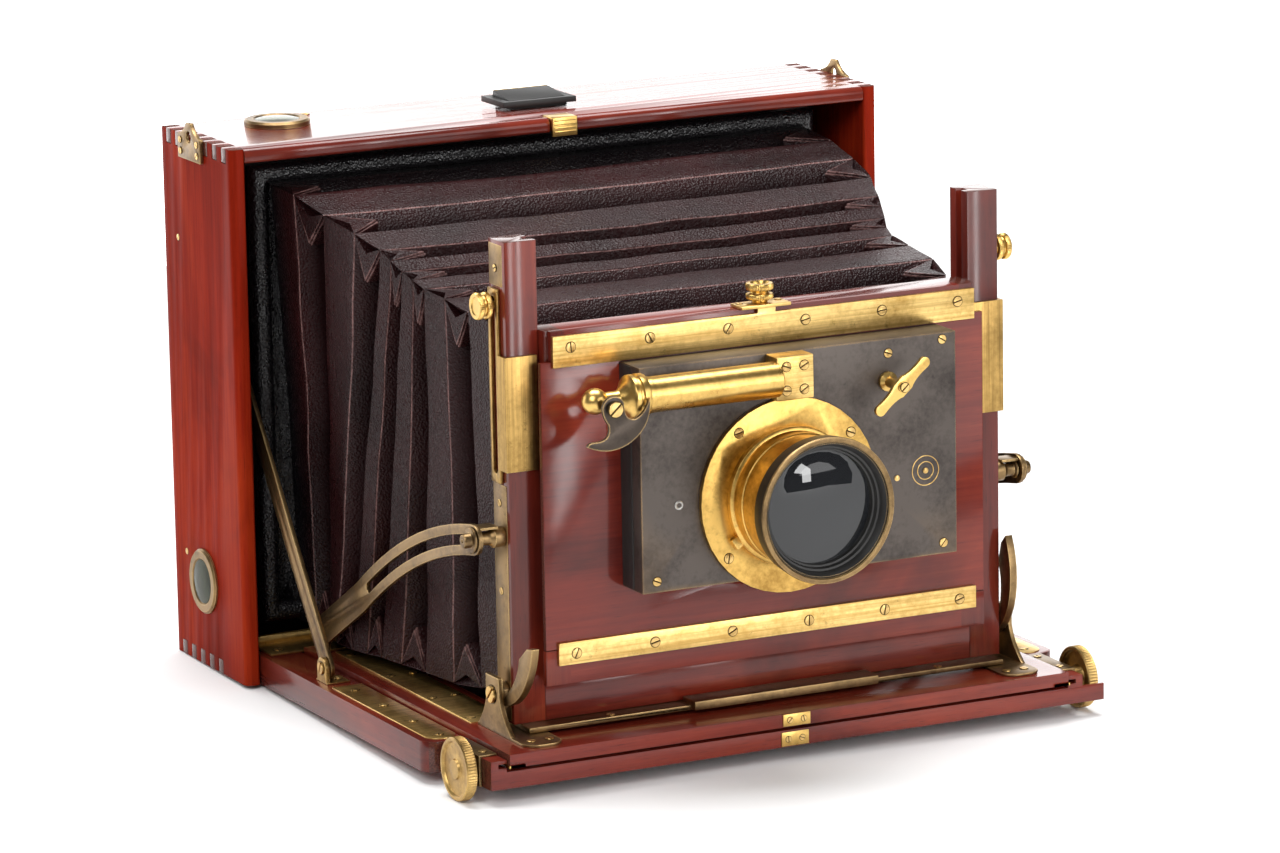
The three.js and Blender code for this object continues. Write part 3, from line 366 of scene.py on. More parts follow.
def dark_paint(name, colour, rough):
    tree = new_material(name)
    mottled = noise_fac(tree, place(tree), 240.0, 5, 0.7)
    shade = ramp(tree, mottled, (0.3, tuple(0.6 * c for c in colour)), (0.7, colour))
    finish_surface(tree, {"Base Color": shade, "Roughness": rough,
                          "Normal": bump(tree, mottled, 0.00003, 0.5)})


def floor_paint(name):
    tree = new_material(name)
    tone = ramp(tree, noise_fac(tree, place(tree), 3.0, 2, 0.5), *zip((0.0, 1.0), FLOOR_GREYS))
    finish_surface(tree, {"Base Color": tone, "Roughness": 0.75, "Specular IOR Level": 0.15})


# A lit copy of the mahogany for the box's side boards: painted light.
mahogany("lit_side_wood", "Z", LIT_SIDE_TONES, coat=0.01, gloss=0.02)
mahogany("wood_x", "X")
mahogany("wood_z", "Z")
mahogany("bed_wood", "X", other="Y", limit=112.0, behind=-191.5)
mahogany("track_wood", "X", other="Y", limit=97.0, behind=-171.0)
mahogany("front_wood", "X", other="Z", limit=88.0)
metal("brass", (0.72, 0.47, 0.145), (0.42, 0.25, 0.068), 0.20, wear=0.6)
metal("knob_brass", (0.54, 0.35, 0.12), (0.24, 0.14, 0.05), 0.28, tarnish=0.6, wear=0.7,
      wear_colour=(0.80, 0.56, 0.22))
metal("flange_brass", (0.72, 0.45, 0.125), (0.34, 0.19, 0.045), 0.22, wear=0.6,
      turned=(at(0, 0, LENS_Z), UNIT["Y"]))
metal("strip_brass", (0.94, 0.66, 0.25), (0.50, 0.30, 0.08), 0.24, brush="X", tarnish=0.65)
metal("sleeve_brass", (0.54, 0.34, 0.11), (0.24, 0.145, 0.045), 0.28, brush="Z", tarnish=0.6)
metal("aged_brass", (0.27, 0.175, 0.080), (0.100, 0.062, 0.032), 0.30, tarnish=0.55, wear=0.9,
      wear_colour=(0.72, 0.50, 0.22))
metal("screw_brass", (0.74, 0.50, 0.19), (0.38, 0.23, 0.08), 0.26, wear=0.5, painted_shadow=True)
metal("steel", (0.50, 0.49, 0.47), (0.30, 0.29, 0.28), 0.3)
metal("shutter_metal", (0.100, 0.084, 0.074), (0.045, 0.037, 0.033), 0.34, tarnish=0.35, wear=0.95,
      wear_colour=(0.62, 0.37, 0.13), metallic=0.75)
metal("hood_metal", (0.060, 0.046, 0.036), (0.028, 0.022, 0.018), 0.28, tarnish=0.2, wear=0.9,
      wear_colour=(0.66, 0.44, 0.18), metallic=0.8)
dark_paint("black", (0.016, 0.015, 0.014), 0.5)
dark_paint("inner_paint", (0.020, 0.012, 0.010), 0.6)
leather("leather")
# Painted shade: the lens glass is nearly black and lets little light through, standing in for the dark
# inside of the camera.
clear_glass("lens_glass", (0.012, 0.013, 0.015), transmission=0.12)
clear_glass("level_glass", (0.20, 0.22, 0.15), 0.02, 0.85, 1.18)
ground("ground_glass")
floor_paint("floor_paint")

# ---------------------------------------------------------------- mesh helpers
SHARP_EDGE = math.radians(32)
FLAT_ANGLE = math.radians(0.6)           # faces that lie flatter than this are joined
WELD_DISTANCE = 0.004 * MM


def geometry_group(name):
    """An empty geometry nodes group, its input and its output."""
    tree = bpy.data.node_groups.new(name, "GeometryNodeTree")
    for way in ("INPUT", "OUTPUT"):
        tree.interface.new_socket("Geometry", in_out=way, socket_type="NodeSocketGeometry")
    start, stop = tree.nodes.new("NodeGroupInput"), tree.nodes.new("NodeGroupOutput")
    return tree, start.outputs[0], stop.inputs[0]


def smoothing_group():
    """Geometry nodes that shade rounds smooth and keep sharper edges sharp."""
    tree, start, stop = geometry_group("smooth_rounds")
    faces = tree.nodes.new("GeometryNodeSetShadeSmooth")
    edges = tree.nodes.new("GeometryNodeSetShadeSmooth")
    edges.domain = "EDGE"
    edges.inputs["Shade Smooth"].default_value = False
    angle = tree.nodes.new("GeometryNodeInputMeshEdgeAngle")
    sharp = tree.nodes.new("FunctionNodeCompare")
    sharp.operation = "GREATER_THAN"
    sharp.inputs[1].default_value = SHARP_EDGE
    for source, target in ((start, faces.inputs["Geometry"]), (faces.outputs[0], edges.inputs["Geometry"]),
                           (angle.outputs["Unsigned Angle"], sharp.inputs[0]),
                           (sharp.outputs[0], edges.inputs["Selection"]), (edges.outputs[0], stop)):
        tree.links.new(source, target)
    return tree


def plain_normals_group():
    """Geometry nodes that leave out the normals that came with a CAD mesh."""
    tree, start, stop = geometry_group("plain_normals")
    drop = tree.nodes.new("GeometryNodeRemoveAttribute")
    drop.inputs["Name"].default_value = "custom_normal"
    tree.links.new(start, drop.inputs["Geometry"])
    tree.links.new(drop.outputs["Geometry"], stop)
    return tree


SMOOTH = smoothing_group()
PLAIN_NORMALS = plain_normals_group()


def add_smoothing(obj):
    obj.modifiers.new("smooth_rounds", "NODES").node_group = SMOOTH


def add_bevel(obj, width):
    bevel = obj.modifiers.new("soft_edges", "BEVEL")
    bevel.width = width * MM
    bevel.segments = 2
    bevel.limit_method = "ANGLE"
    bevel.angle_limit = SHARP_EDGE
    bevel.use_clamp_overlap = True


def link(obj):
    bpy.context.scene.collection.objects.link(obj)
    return obj


def new_object(name, verts, faces, material):
    """An object with a mesh of its own, from vertices in millimetres."""
    mesh = bpy.data.meshes.new(name)
    mesh.from_pydata([at(*v) for v in verts], [], faces)
    mesh.validate()
    mesh.update()
    mesh.materials.append(MATERIALS[material])
    return link(bpy.data.objects.new(name, mesh))


def set_points(obj, name, values):
    """Adds a mesh attribute with one number for each point."""
    obj.data.attributes.new(name, "FLOAT", "POINT").data.foreach_set("value", values)


def prism(outline, depth):
    """An outline in x, y (anticlockwise) drawn up from z = 0 to depth."""
    n = len(outline)
    verts = [(x, y, 0) for x, y in outline] + [(x, y, depth) for x, y in outline]
    faces = [tuple(range(n - 1, -1, -1)), tuple(range(n, 2 * n)), *ring_faces(n)]
    return verts, faces


def ring_faces(n, low=0, high=None):
    """Faces between two rings of n points, which start at points low and high."""
    high = low + n if high is None else high
    return [(low + i, low + (i + 1) % n, high + (i + 1) % n, high + i) for i in range(n)]


# Fine teeth on a turned piece: how many, how deep, between which heights, and from which radius.
Knurl = namedtuple("Knurl", "teeth depth low high least")


def lathe(profile, segments, knurl=None):
    """Turns a profile of (radius, height) round z. Its ends are capped unless they meet."""
    def cut(r, h, angle):
        if not knurl or not knurl.low <= h <= knurl.high or r < knurl.least:
            return r
        return r - knurl.depth * (0.5 - 0.5 * math.cos(knurl.teeth * angle))
    closed = profile[0] == profile[-1]
    angles = [2 * math.pi * i / segments for i in range(segments)]
    rings = profile[:-1] if closed else profile
    verts = [(cut(r, h, a) * math.cos(a), cut(r, h, a) * math.sin(a), h) for r, h in rings for a in angles]
    starts = [k * segments for k in range(len(rings))]
    faces = []
    for low, high in zip(starts, starts[1:] + ([0] if closed else [])):
        faces += ring_faces(segments, low, high)
    if not closed:
        faces += [tuple(range(segments - 1, -1, -1)), tuple(range(starts[-1], starts[-1] + segments))]
    return verts, faces


def raised(base, profile):
    """A profile whose heights are counted from base."""
    return [(radius, base + height) for radius, height in profile]


def facing(direction):
    """The turn that takes z to a direction."""
    return Vector(UP).rotation_difference(Vector(direction)).to_matrix()


class Build:
    """Collects vertices in millimetres and faces, then makes one object of them."""

    def __init__(self):
        self.verts = []
        self.faces = []

    def add(self, verts, faces, turn=None, move=(0, 0, 0)):
        base = len(self.verts)
        turn = turn or Matrix.Identity(3)
        self.verts += [turn @ Vector(v) + Vector(move) for v in verts]
        self.faces += [tuple(base + i for i in face) for face in faces]
        return self

    def block(self, xs, ys, zs, turn=None, move=(0, 0, 0)):
        (x0, x1), (y0, y1), (z0, z1) = (sorted(pair) for pair in (xs, ys, zs))
        verts = [(x, y, z) for z in (z0, z1) for y in (y0, y1) for x in (x0, x1)]
        faces = [(0, 2, 3, 1), (4, 5, 7, 6), (0, 1, 5, 4), (2, 6, 7, 3), (0, 4, 6, 2), (1, 3, 7, 5)]
        return self.add(verts, faces, turn, move)

    def turned(self, profile, segments, direction, base, knurl=None):
        """Adds a profile turned round a direction, its heights counted from base."""
        return self.add(*lathe(profile, segments, knurl), facing(direction), base)

    def make(self, name, material, body, slot="lacquered_brass", bevel=0.0, replaces=None):
        obj = new_object(name, self.verts, self.faces, material)
        if bevel:
            add_bevel(obj, bevel)
        add_smoothing(obj)
        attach(obj, body)
        if replaces:
            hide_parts(replaces)
        return obj


SCREW_BASE = 24                          # points round the disc under a screw head, which is painted dark as its shadow


def screw_shape(radius, height, turn):
    """A slotted cheese-head screw: two D shaped lands on a thin disc, which is painted dark as the shadow
    under the head.
    """
    half_slot = 0.13 * radius
    base = lathe([(radius * 1.14, 0.0), (radius * 1.14, height * 0.2)], SCREW_BASE)
    out = Build().add(*base)
    start = math.asin(half_slot / radius)
    for side in (0, math.pi):
        angles = [start + side + (math.pi - 2 * start) * k / 12 for k in range(13)]
        arc = [(radius * math.cos(a), radius * math.sin(a)) for a in angles]
        inner = [(x * 0.9, y * 0.9 + math.copysign(0.05 * radius, y)) for x, y in arc]
        n = len(arc)
        rings = ((arc, 0.1), (arc, 0.75), (inner, 1.0))
        points = [(x, y, height * share) for ring, share in rings for x, y in ring]
        ends = [tuple(range(n - 1, -1, -1)), tuple(range(2 * n, 3 * n))]
        out.add(points, ring_faces(n) + ring_faces(n, n) + ends)
    spin = Matrix.Rotation(turn, 3, "Z")
    return [spin @ v for v in out.verts], out.faces


def screws(name, places, direction, radius, height, body):
    """One object holding a screw head at every place, facing one way."""
    group = Build()
    dirt_and_shadow = []
    for place_mm in places:
        verts, faces = screw_shape(radius, height, random.uniform(0, math.pi))
        group.add(verts, faces, facing(direction), place_mm)
        # The disc's points get 1, so the disc is painted dark as the head's shadow; the lands get 0.
        dirt_and_shadow += [1.0] * (2 * SCREW_BASE) + [0.0] * (len(verts) - 2 * SCREW_BASE)
    set_points(group.make(name, "screw_brass", body), "painted_shadow", dirt_and_shadow)


# ---------------------------------------------------------------- CAD nodes that stay
# By material, each with the width of its soft edges. {} stands for left and right.
KEPT_NODES = {
    "wood_x": {"box_top_board": 0.3, "standard_sill": 0.3, "lens_board": 0.3, "box_bottom_board": 0.2},
    "lit_side_wood": {"box_{}_board": 0.3},
    "wood_z": {"upright_{}": 0.5},
    "front_wood": {"screen_frame": 0.4, "rising_frame": 0.6},
    "bed_wood": {"bed_frame": 0.5},
    "track_wood": {"track_frame": 0.5},
    "inner_paint": {"box_partition": 0.2},
    "aged_brass": {"strap_lug_{}": 0.25, "strut_{}": 0.25, "stay_{}": 0.3, "pinion_bearing_{}": 0.2,
                   "foot_bracket_{}": 0.25, "lock_lever_{}": 0.35, "sill_bar": 0.4, "top_level": 0,
                   "side_level": 0},
    "knob_brass": {"strut_lug_{}": 0.3, "stay_lug_{}": 0.3, "bed_hinge": 0.2},
    "brass": {"rack_{}": 0, "bed_catch": 0.4, "tripod_bush": 0.3, "wing_handle": 0.35},
    "sleeve_brass": {"rise_guide_{}": 0.2},
    "strip_brass": {"top_strip": 0.2},
    "flange_brass": {"lens_flange": 0.25},
    "steel": {"pinion_shaft": 0},
    "black": {"finder_body": 0.25, "finder_lid": 0.25},
    "shutter_metal": {"shutter_case": 0.4},
    "hood_metal": {"release_lever": 0.2},
    "lens_glass": {"front_element": 0, "rear_element": 0},
    "ground_glass": {"ground_glass": 0},
}


def polish(name, material, bevel):
    """Gives a CAD node its material, slightly rounded edges and smooth rounds."""
    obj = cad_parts[name]
    obj.material_slots[0].material = MATERIALS[material]
    obj.modifiers.new("plain_normals", "NODES").node_group = PLAIN_NORMALS
    obj.modifiers.new("weld", "WELD").merge_threshold = WELD_DISTANCE
    if bevel:
        flat = obj.modifiers.new("flat_faces", "DECIMATE")
        flat.decimate_type = "DISSOLVE"
        flat.angle_limit = FLAT_ANGLE
        add_bevel(obj, bevel)
    add_smoothing(obj)


def finish_cad_nodes():
    for material, nodes in KEPT_NODES.items():
        for pattern, bevel in nodes.items():
            for name in dict.fromkeys(pattern.format(side) for _, side in SIDES):
                polish(name, material, bevel)


# ---------------------------------------------------------------- bellows
# The corner lines from back to front: y, half width and top at the upper corners, and how far
# the lower corners trail behind (lean) and stand out (flare).
FOLD_LINES = [
    (34.0, 124.0, 208.0, 0.0, -4.0), (17.5, 125.5, 206.0, 6.0, -11.0), (-5.0, 124.3, 205.0, 16.0, -11.0),
    (-28.6, 122.0, 200.4, 24.0, -8.5), (-51.3, 118.3, 196.3, 29.0, 0.0), (-66.0, 114.2, 191.2, 31.0, 3.0),
    (-71.2, 112.4, 187.6, 27.0, 3.0), (-77.6, 110.2, 184.3, 25.0, 2.0), (-83.4, 107.8, 181.4, 17.0, 2.0),
    (-91.0, 106.2, 179.0, 7.0, 1.0), (-107.0, 105.2, 177.5, 0.0, 0.0), (-127.4, 105.0, 175.6, -4.0, 0.0),
    (-147.0, 101.0, 172.0, -2.0, 0.0)]
BELLOWS_BACK, BELLOWS_FRONT = 45.8, -164.8
BACK_END = (124.0, 19.0, 208.0)          # half width, underside and top where it meets the box
FRONT_END = (88.0, 44.0, 166.0)          # and where it meets the rising front
END_BANDS = (BELLOWS_BACK - 4, -158.0)   # how far the flat ends reach
UNDERSIDE = 19.3
UNDERSIDE_RISE = 9.0                     # how far the underside climbs over the front stretch
CLIMB_START, CLIMB_LENGTH = -95.0, 50.0
RIB = 15.5                               # leather from a corner line in to the valley
LEAST_DEPTH = 4.0                        # of a valley
TUCK = 16.5                              # how far the corner tucks reach along a side
CORNER_DIP = 5.5                         # how far the corner itself folds in between corner lines
WALL = 0.9
BEAD = 0.35                              # how far a worn fold line stands proud
SAG = 0.9                                # how far a side hangs in at its middle
ACROSS = 12                              # points between the tucks on each side
# Where each extra row lies between a corner line (0) and the valley (1).
STEPS = (0.06, 0.35, 0.7, 0.94)
# A tuck's points from the corner inwards: reach along the side and depth, as shares, and wear.
TUCK_POINTS = ((0.0, 0.0, 0.35), (0.30, 0.0, 0.0), (0.86, 0.0, 0.0), (1.0, 0.0, 1.0), (1.0, 0.12, 0.0),
               (1.0, 1.0, 0.0))
# The corner lines between which each piece of leather reaches. The last
# piece is only the flat band at the front end.
PIECE_LINES = (0, 5, 9, 12, 12)
BLACK_START, BLACK_LENGTH = 4.0, 14.0    # where the leather turns black towards the back


def rectangle(half, low, top):
    """Corners of a loop in x and z: lower left, lower right, upper right, upper left."""
    return [(-half, low), (half, low), (half, top), (-half, top)]


OUTWARD = (Vector((0, 0, -1)), Vector((1, 0, 0)), Vector((0, 0, 1)), Vector((-1, 0, 0)))


def line_corners(index):
    """The four corners of a corner line, in rectangle()'s order."""
    y, half, top, lean, flare = FOLD_LINES[index]
    climb = max(0.0, (CLIMB_START - y) / CLIMB_LENGTH)
    low = UNDERSIDE + UNDERSIDE_RISE * climb * climb
    foot = half + flare
    return [Vector((-foot, y + lean, low)), Vector((foot, y + lean, low)),
            Vector((half, y, top)), Vector((-half, y, top))]


def row_side(a, b, out, t, depth, recessed):
    """Points from corner a to corner b on one side, with (worn, painted shade) values for each.

    t is 0 on a corner line and 1 at the valley. A recessed side folds in by depth, and its
    corners close with a flat three-cornered tuck."""
    span = (b - a).length
    along = (b - a) / span
    fold = t if recessed else 0.0
    tuck = [(far * fold, dip * fold, worn if recessed else 0.0) for far, dip, worn in TUCK_POINTS]
    points = [a + along * TUCK * far - out * depth * dip for far, dip, _ in tuck]
    # Each point's second value is the painted shade it gets, deeper towards the valley.
    values = [(worn, dip) for _, dip, worn in tuck]
    start = TUCK * fold
    for i in range(1, ACROSS):
        f = i / ACROSS
        sag = SAG * math.sin(math.pi * f)
        points.append(a + along * (start + (span - 2 * start) * f) - out * (depth * fold + sag))
        values.append((0.0, fold))
    for far, dip, worn in tuck[:0:-1]:
        points.append(b - along * TUCK * far - out * depth * dip)
        values.append((worn, dip))
    return points, values


def ripple(point):
    """The leather's own unevenness, the same wherever two pieces meet."""
    p = point * 0.03
    return Vector((noise.noise(Vector((p.x, p.y * 1.6 + 7.0, p.z))) * 0.9,
                   noise.noise(Vector((p.x + 31.0, p.y + 3.0, p.z))) * 1.4,
                   noise.noise(Vector((p.x - 17.0, p.y * 1.6, p.z + 11.0))) * 0.9))


def bellows_row(corners, inset, t=0.0, depth=0.0, sides_fold=True, crest=0.0):
    """One loop round the bellows, with (worn, painted shade) values for each point."""
    loop, values = [], []
    centre = sum(corners, Vector()) / 4
    pulled = [corner - Vector((math.copysign(inset, corner.x - centre.x), 0,
                               math.copysign(inset, corner.z - centre.z))) for corner in corners]
    for k in range(4):
        recessed = (k % 2 == 1) == sides_fold and t > 0
        points, side_values = row_side(pulled[k], pulled[(k + 1) % 4], OUTWARD[k], t, depth, recessed)
        points[0] -= (OUTWARD[k] + OUTWARD[k - 1]) * CORNER_DIP * t
        loop += [p + ripple(p) for p in points]
        values += [(max(crest, worn), painted_shade) for worn, painted_shade in side_values]
    return loop, values


def stretch_rows(first, last, inset):
    """Rows from one corner line to another, as bellows_row() makes them."""
    rows = []
    down = [(t, t / 2) for t in STEPS]
    up = [(t, 1 - t / 2) for t in STEPS[::-1]]
    for i in range(first, last):
        a, b = line_corners(i), line_corners(i + 1)
        rows.append(bellows_row(a, inset - BEAD, crest=1.0))
        gap = (a[2] - b[2]).length
        depth = math.sqrt(max(RIB * RIB - gap * gap / 4, LEAST_DEPTH ** 2))
        for t, share in down + [(1.0, 0.5)] + up:
            corners = [p.lerp(q, share) for p, q in zip(a, b)]
            rows.append(bellows_row(corners, inset, t, depth, i % 2 == 0))
    return rows + [bellows_row(line_corners(last), inset - BEAD, crest=1.0)]


def end_row(y, size, inset):
    return bellows_row([Vector((x, y, z)) for x, z in rectangle(*size)], inset)


def bellows_skin(first, last, inset):
    """A stretch's rows, with the flat bands at the bellows' own ends."""
    rows = stretch_rows(first, last, inset)
    if first == 0:
        rows = [end_row(y, BACK_END, inset) for y in (BELLOWS_BACK, END_BANDS[0])] + rows
    if last == len(FOLD_LINES) - 1:
        rows += [end_row(y, FRONT_END, inset) for y in (END_BANDS[1], BELLOWS_FRONT)]
    return rows


def merged_grid(rows):
    """Rows of point numbers, with points that meet in the same skin merged, the points and
    their values."""
    index_of, verts, wear, grid = {}, [], [], []
    for k, (loop, values) in enumerate(rows):
        inner = k >= len(rows) // 2
        line = []
        for point, value in zip(loop, values):
            key = (inner, round(point.x, 3), round(point.y, 3), round(point.z, 3))
            if key not in index_of:
                index_of[key] = len(verts)
                verts.append(point)
                wear.append(value)
            line.append(index_of[key])
        grid.append(line)
    return grid, verts, wear


def bellows_piece(name, first, last):
    """A closed stretch of leather between two corner lines."""
    rows = bellows_skin(first, last, 0.0) + bellows_skin(first, last, WALL)[::-1]
    grid, verts, wear = merged_grid(rows)
    faces = []
    for line, following in zip(grid, grid[1:] + grid[:1]):
        for i in range(len(line)):
            j = (i + 1) % len(line)
            corners = list(dict.fromkeys((line[i], line[j], following[j], following[i])))
            if len(corners) > 2:
                faces.append(corners)
    obj = new_object(name, verts, faces, "leather")
    # wear holds each point's worn fold line value and its painted fold shade.
    set_points(obj, "crest", [worn for worn, _ in wear])
    set_points(obj, "painted_shade", [painted_shade for _, painted_shade in wear])
    set_points(obj, "black", [min(1.0, max(0.0, (p.y - BLACK_START) / BLACK_LENGTH)) for p in verts])
    add_smoothing(obj)
    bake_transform(obj)
    return obj


def make_bellows():
    count = len(PIECE_LINES) - 1
    for i in range(count):
        first, last = PIECE_LINES[i:i + 2]
        piece = bellows_piece(f"bellows_{i + 1}", first, last)
        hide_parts("bellows")


CUFF_Y = 25.0
CUFF_LOOP = (127.5, 24.0, 209.3)         # half width, underside and top
CUFF_RADIUS = 4.2
CUFF_DEPTH = 1.1                         # how much deeper than high the roll is
CUFF_UNEVEN = 0.10
CUFF_AROUND, CUFF_ALONG = 20, 40         # points round the roll and along each side


def make_cuff():
    """The black turned edge of leather round the bellows' back end, inside the box."""
    corners = rectangle(*CUFF_LOOP)
    verts = []
    for k, (x, z) in enumerate(corners):
        nx, nz = corners[(k + 1) % 4]
        for i in range(CUFF_ALONG):
            f = i / CUFF_ALONG
            px, pz = x + (nx - x) * f, z + (nz - z) * f
            radius = CUFF_RADIUS * (1 + CUFF_UNEVEN * noise.noise(Vector((px * 0.04, k * 5.0, pz * 0.04))))
            side = OUTWARD[k] + (Vector() if i else OUTWARD[k - 1])
            for j in range(CUFF_AROUND):
                a = 2 * math.pi * j / CUFF_AROUND
                across = CUFF_Y + radius * CUFF_DEPTH * math.sin(a)
                verts.append(Vector((px, across, pz)) + side * radius * math.cos(a))
    faces = []
    for ring in range(0, len(verts), CUFF_AROUND):
        faces += ring_faces(CUFF_AROUND, ring, (ring + CUFF_AROUND) % len(verts))
    cuff = Build().add(verts, faces).make("bellows_cuff", "leather", "box", "bellows_leather")
    set_points(cuff, "black", [1.0] * len(verts))


# ---------------------------------------------------------------- brass strips and screws
STRIP_FRONT = node_box("top_strip")[0].y


def make_front_fittings():
    """The lower brass strip and the screws of both strips."""
    strip = Build().block((-STRIP_HALF, STRIP_HALF), (PANEL_FACE - 0.1, STRIP_FRONT), (41.7, 50.8))
    strip.make("bottom_strip", "strip_brass", "rising_front", bevel=0.2)
    places = [(side * x, STRIP_FRONT, z) for side, _ in SIDES for x in (17.2, 51.7, 86.2)
              for z in (168.6, 46.1)]
    screws("strip_screws", places, FORWARD, 2.0, 0.35, "rising_front")
    plate_top = node_box("top_strip")[1].z
    places = [(x, -174.5, plate_top) for x in (-8.6, 8.6)]
    screws("thumb_plate_screws", places, UP, 1.4, 0.4, "rising_front")


CHANNEL_PROUD = 0.22
UNDER_GUIDE = 0.06                       # how far the channel stands proud where the guide runs over it


def make_upright_channels():
    """The brass channel let into each upright's outer side, and its screws."""
    for side, name in SIDES:
        outer = side * UPRIGHT_HIGH.x
        plate = Build()
        for proud, heights in ((CHANNEL_PROUD, (19.0, 113.6)),
                               (UNDER_GUIDE, (192.6, UPRIGHT_HIGH.z - 1.5))):
            plate.block((outer - side * 0.3, outer + side * proud),
                        (UPRIGHT_HIGH.y - 0.2, UPRIGHT_LOW.y + 2.2), heights)
        plate.make(f"channel_{name}", "aged_brass", "standard", "aged_brass", bevel=0.1)
        places = [(outer + side * 0.2, -164.0, z) for z in (70.5, 106.0, 199.5)]
        screws(f"channel_screws_{name}", places, (side, 0, 0), 1.5, 0.25, "standard")


RAIL_OUT, RAIL_ROUND = 133, 6.5          # the rail plate's middle and the radius of its front end
RAIL_FRONT, RAIL_BACK = -152, -64        # the middle of its round end, and its square end


def rail_outline(side):
    """A rail plate's outline: a round front end and a square back."""
    angles = [k * math.pi / 10 for k in range(11)]
    outline = [(side * (RAIL_OUT + RAIL_ROUND * math.cos(a)), RAIL_FRONT - RAIL_ROUND * math.sin(a))
               for a in angles]
    outline += [(side * (RAIL_OUT + x), RAIL_BACK) for x in (-RAIL_ROUND, RAIL_ROUND)]
    return outline[::-1] if side > 0 else outline


def make_track_plates():
    """Brass wear plates on the track and rails, and the tongues."""
    top, rail_top = TRACK_HIGH.z, BED_HIGH.z
    for side, name in SIDES:
        strip = Build().block((side * 101.5, side * 118), (-19, -150), (top - 0.4, top + 0.45))
        strip.make(f"track_plate_{name}", "strip_brass", "track", bevel=0.15)
        places = [(side * x, y, top + 0.42) for y in (-27, -67, -107, -143) for x in (104.6, 114.8)]
        screws(f"track_screws_{name}", places, UP, 1.8, 0.3, "track")
        rail = Build().add(*prism(rail_outline(side), 0.75), move=(0, 0, rail_top - 0.35))
        rail.make(f"rail_plate_{name}", "strip_brass", "bed", bevel=0.12)
        places = [(side * RAIL_OUT, y, rail_top + 0.38) for y in (-72, -100, -128, RAIL_FRONT)]
        screws(f"rail_screws_{name}", places, UP, 1.8, 0.3, "bed")
        tongue = Build()
        for outer, back in ((125.4, -170), (125.9, TRACK_LOW.y + 4)):
            tongue.block((side * 119, side * outer), (TRACK_LOW.y - 0.5, back), (9.35, 10.4))
        tongue.make(f"track_tongue_{name}", "brass", "track")


def make_catch_plates():
    """The small plates at the middle of the track's and the bed's front edges."""
    for name, body, front, heights, screw_z in (("track_catch", "track", TRACK_LOW.y, (9.7, 14.6), 12.2),
                                                ("bed_catch", "bed", BED_LOW.y, (1.2, 6.9), 4.0)):
        plate = Build().block((-5.6, 6.6), (front + 0.2, front - 0.55), heights)
        plate.make(f"{name}_plate", "brass", body, bevel=0.15)
        screws(f"{name}_screws", [(x, front - 0.55, screw_z) for x in (-2.6, 3.6)], FORWARD, 1.2, 0.3, body)


def make_side_screws():
    """Screws of the lugs, hinge, brackets, bearings and other small fittings."""
    for side, name in SIDES:
        out = (side, 0, 0)
        lug = node_end(f"strap_lug_{name}", out)
        places = [(lug.x, lug.y + y, z) for y in (-8.6, 8.6) for z in (218.4, 223.0)]
        screws(f"strap_lug_screws_{name}", places, out, 1.45, 0.4, "box")
        places = [(side * x, 1.6, BED_HIGH.z + 1.0) for x in (134.5, 90, 45)]
        screws(f"hinge_screws_{name}", places, UP, 2.0, 0.4, "bed")
        foot_top = node_box(f"foot_bracket_{name}")[0].z + 0.95
        places = [(side * x, y, foot_top) for x, y in ((103, -190), (111, -190), (103, -157))]
        screws(f"foot_screws_{name}", places, UP, 1.8, 0.4, "track")
        pivot = node_end(f"foot_bracket_{name}", out).x
        screws(f"pivot_screw_{name}", [(pivot, -166, 30)], out, 3.4, 1.3, "track")
        screws(f"strut_lug_screw_{name}", [(side * 132, -53, BED_HIGH.z + 0.7)], UP, 1.6, 0.4, "bed")
        strut = node_end(f"strut_lug_{name}", out).x - side * 0.6
        screws(f"strut_pin_{name}", [(strut, -53, 18.4)], out, 2.6, 1.0, "bed")
        stay = node_end(f"stay_lug_{name}", out).x - side * 1.9
        screws(f"stay_pin_{name}", [(stay, -12, 21.2)], out, 3.0, 1.4, "track")
        bearing_top = node_end(f"pinion_bearing_{name}", UP).z
        places = [(side * 130.2, y, bearing_top) for y in (-168, -186)]
        screws(f"bearing_screws_{name}", places, UP, 1.6, 0.35, "bed")
        cheek = node_end(f"pinion_bearing_{name}", out).x
        screws(f"bearing_side_screw_{name}", [(cheek, -168, 7)], out, 1.5, 0.35, "bed")
    pegs = [(BOX_LOW.x / MM, y, z) for y, z in ((59.4, 45.6), (57.8, 180.1))]
    screws("box_side_pegs", pegs, (-1, 0, 0), 1.3, 0.15, "box")
    screws("level_screw", [(-87.3, 66, node_box("box_top_board")[1].z)], UP, 1.8, 0.3, "box")
    bar_top = node_box("sill_bar")[1].z
    screws("sill_bar_screws", [(x, -177.5, bar_top - 2.2) for x in (-70, 78)], UP, 1.7, 0.4, "standard")


# ---------------------------------------------------------------- turned and knurled fittings
KNOB_RIM = 4.6                           # the width of a focusing knob's milled rim


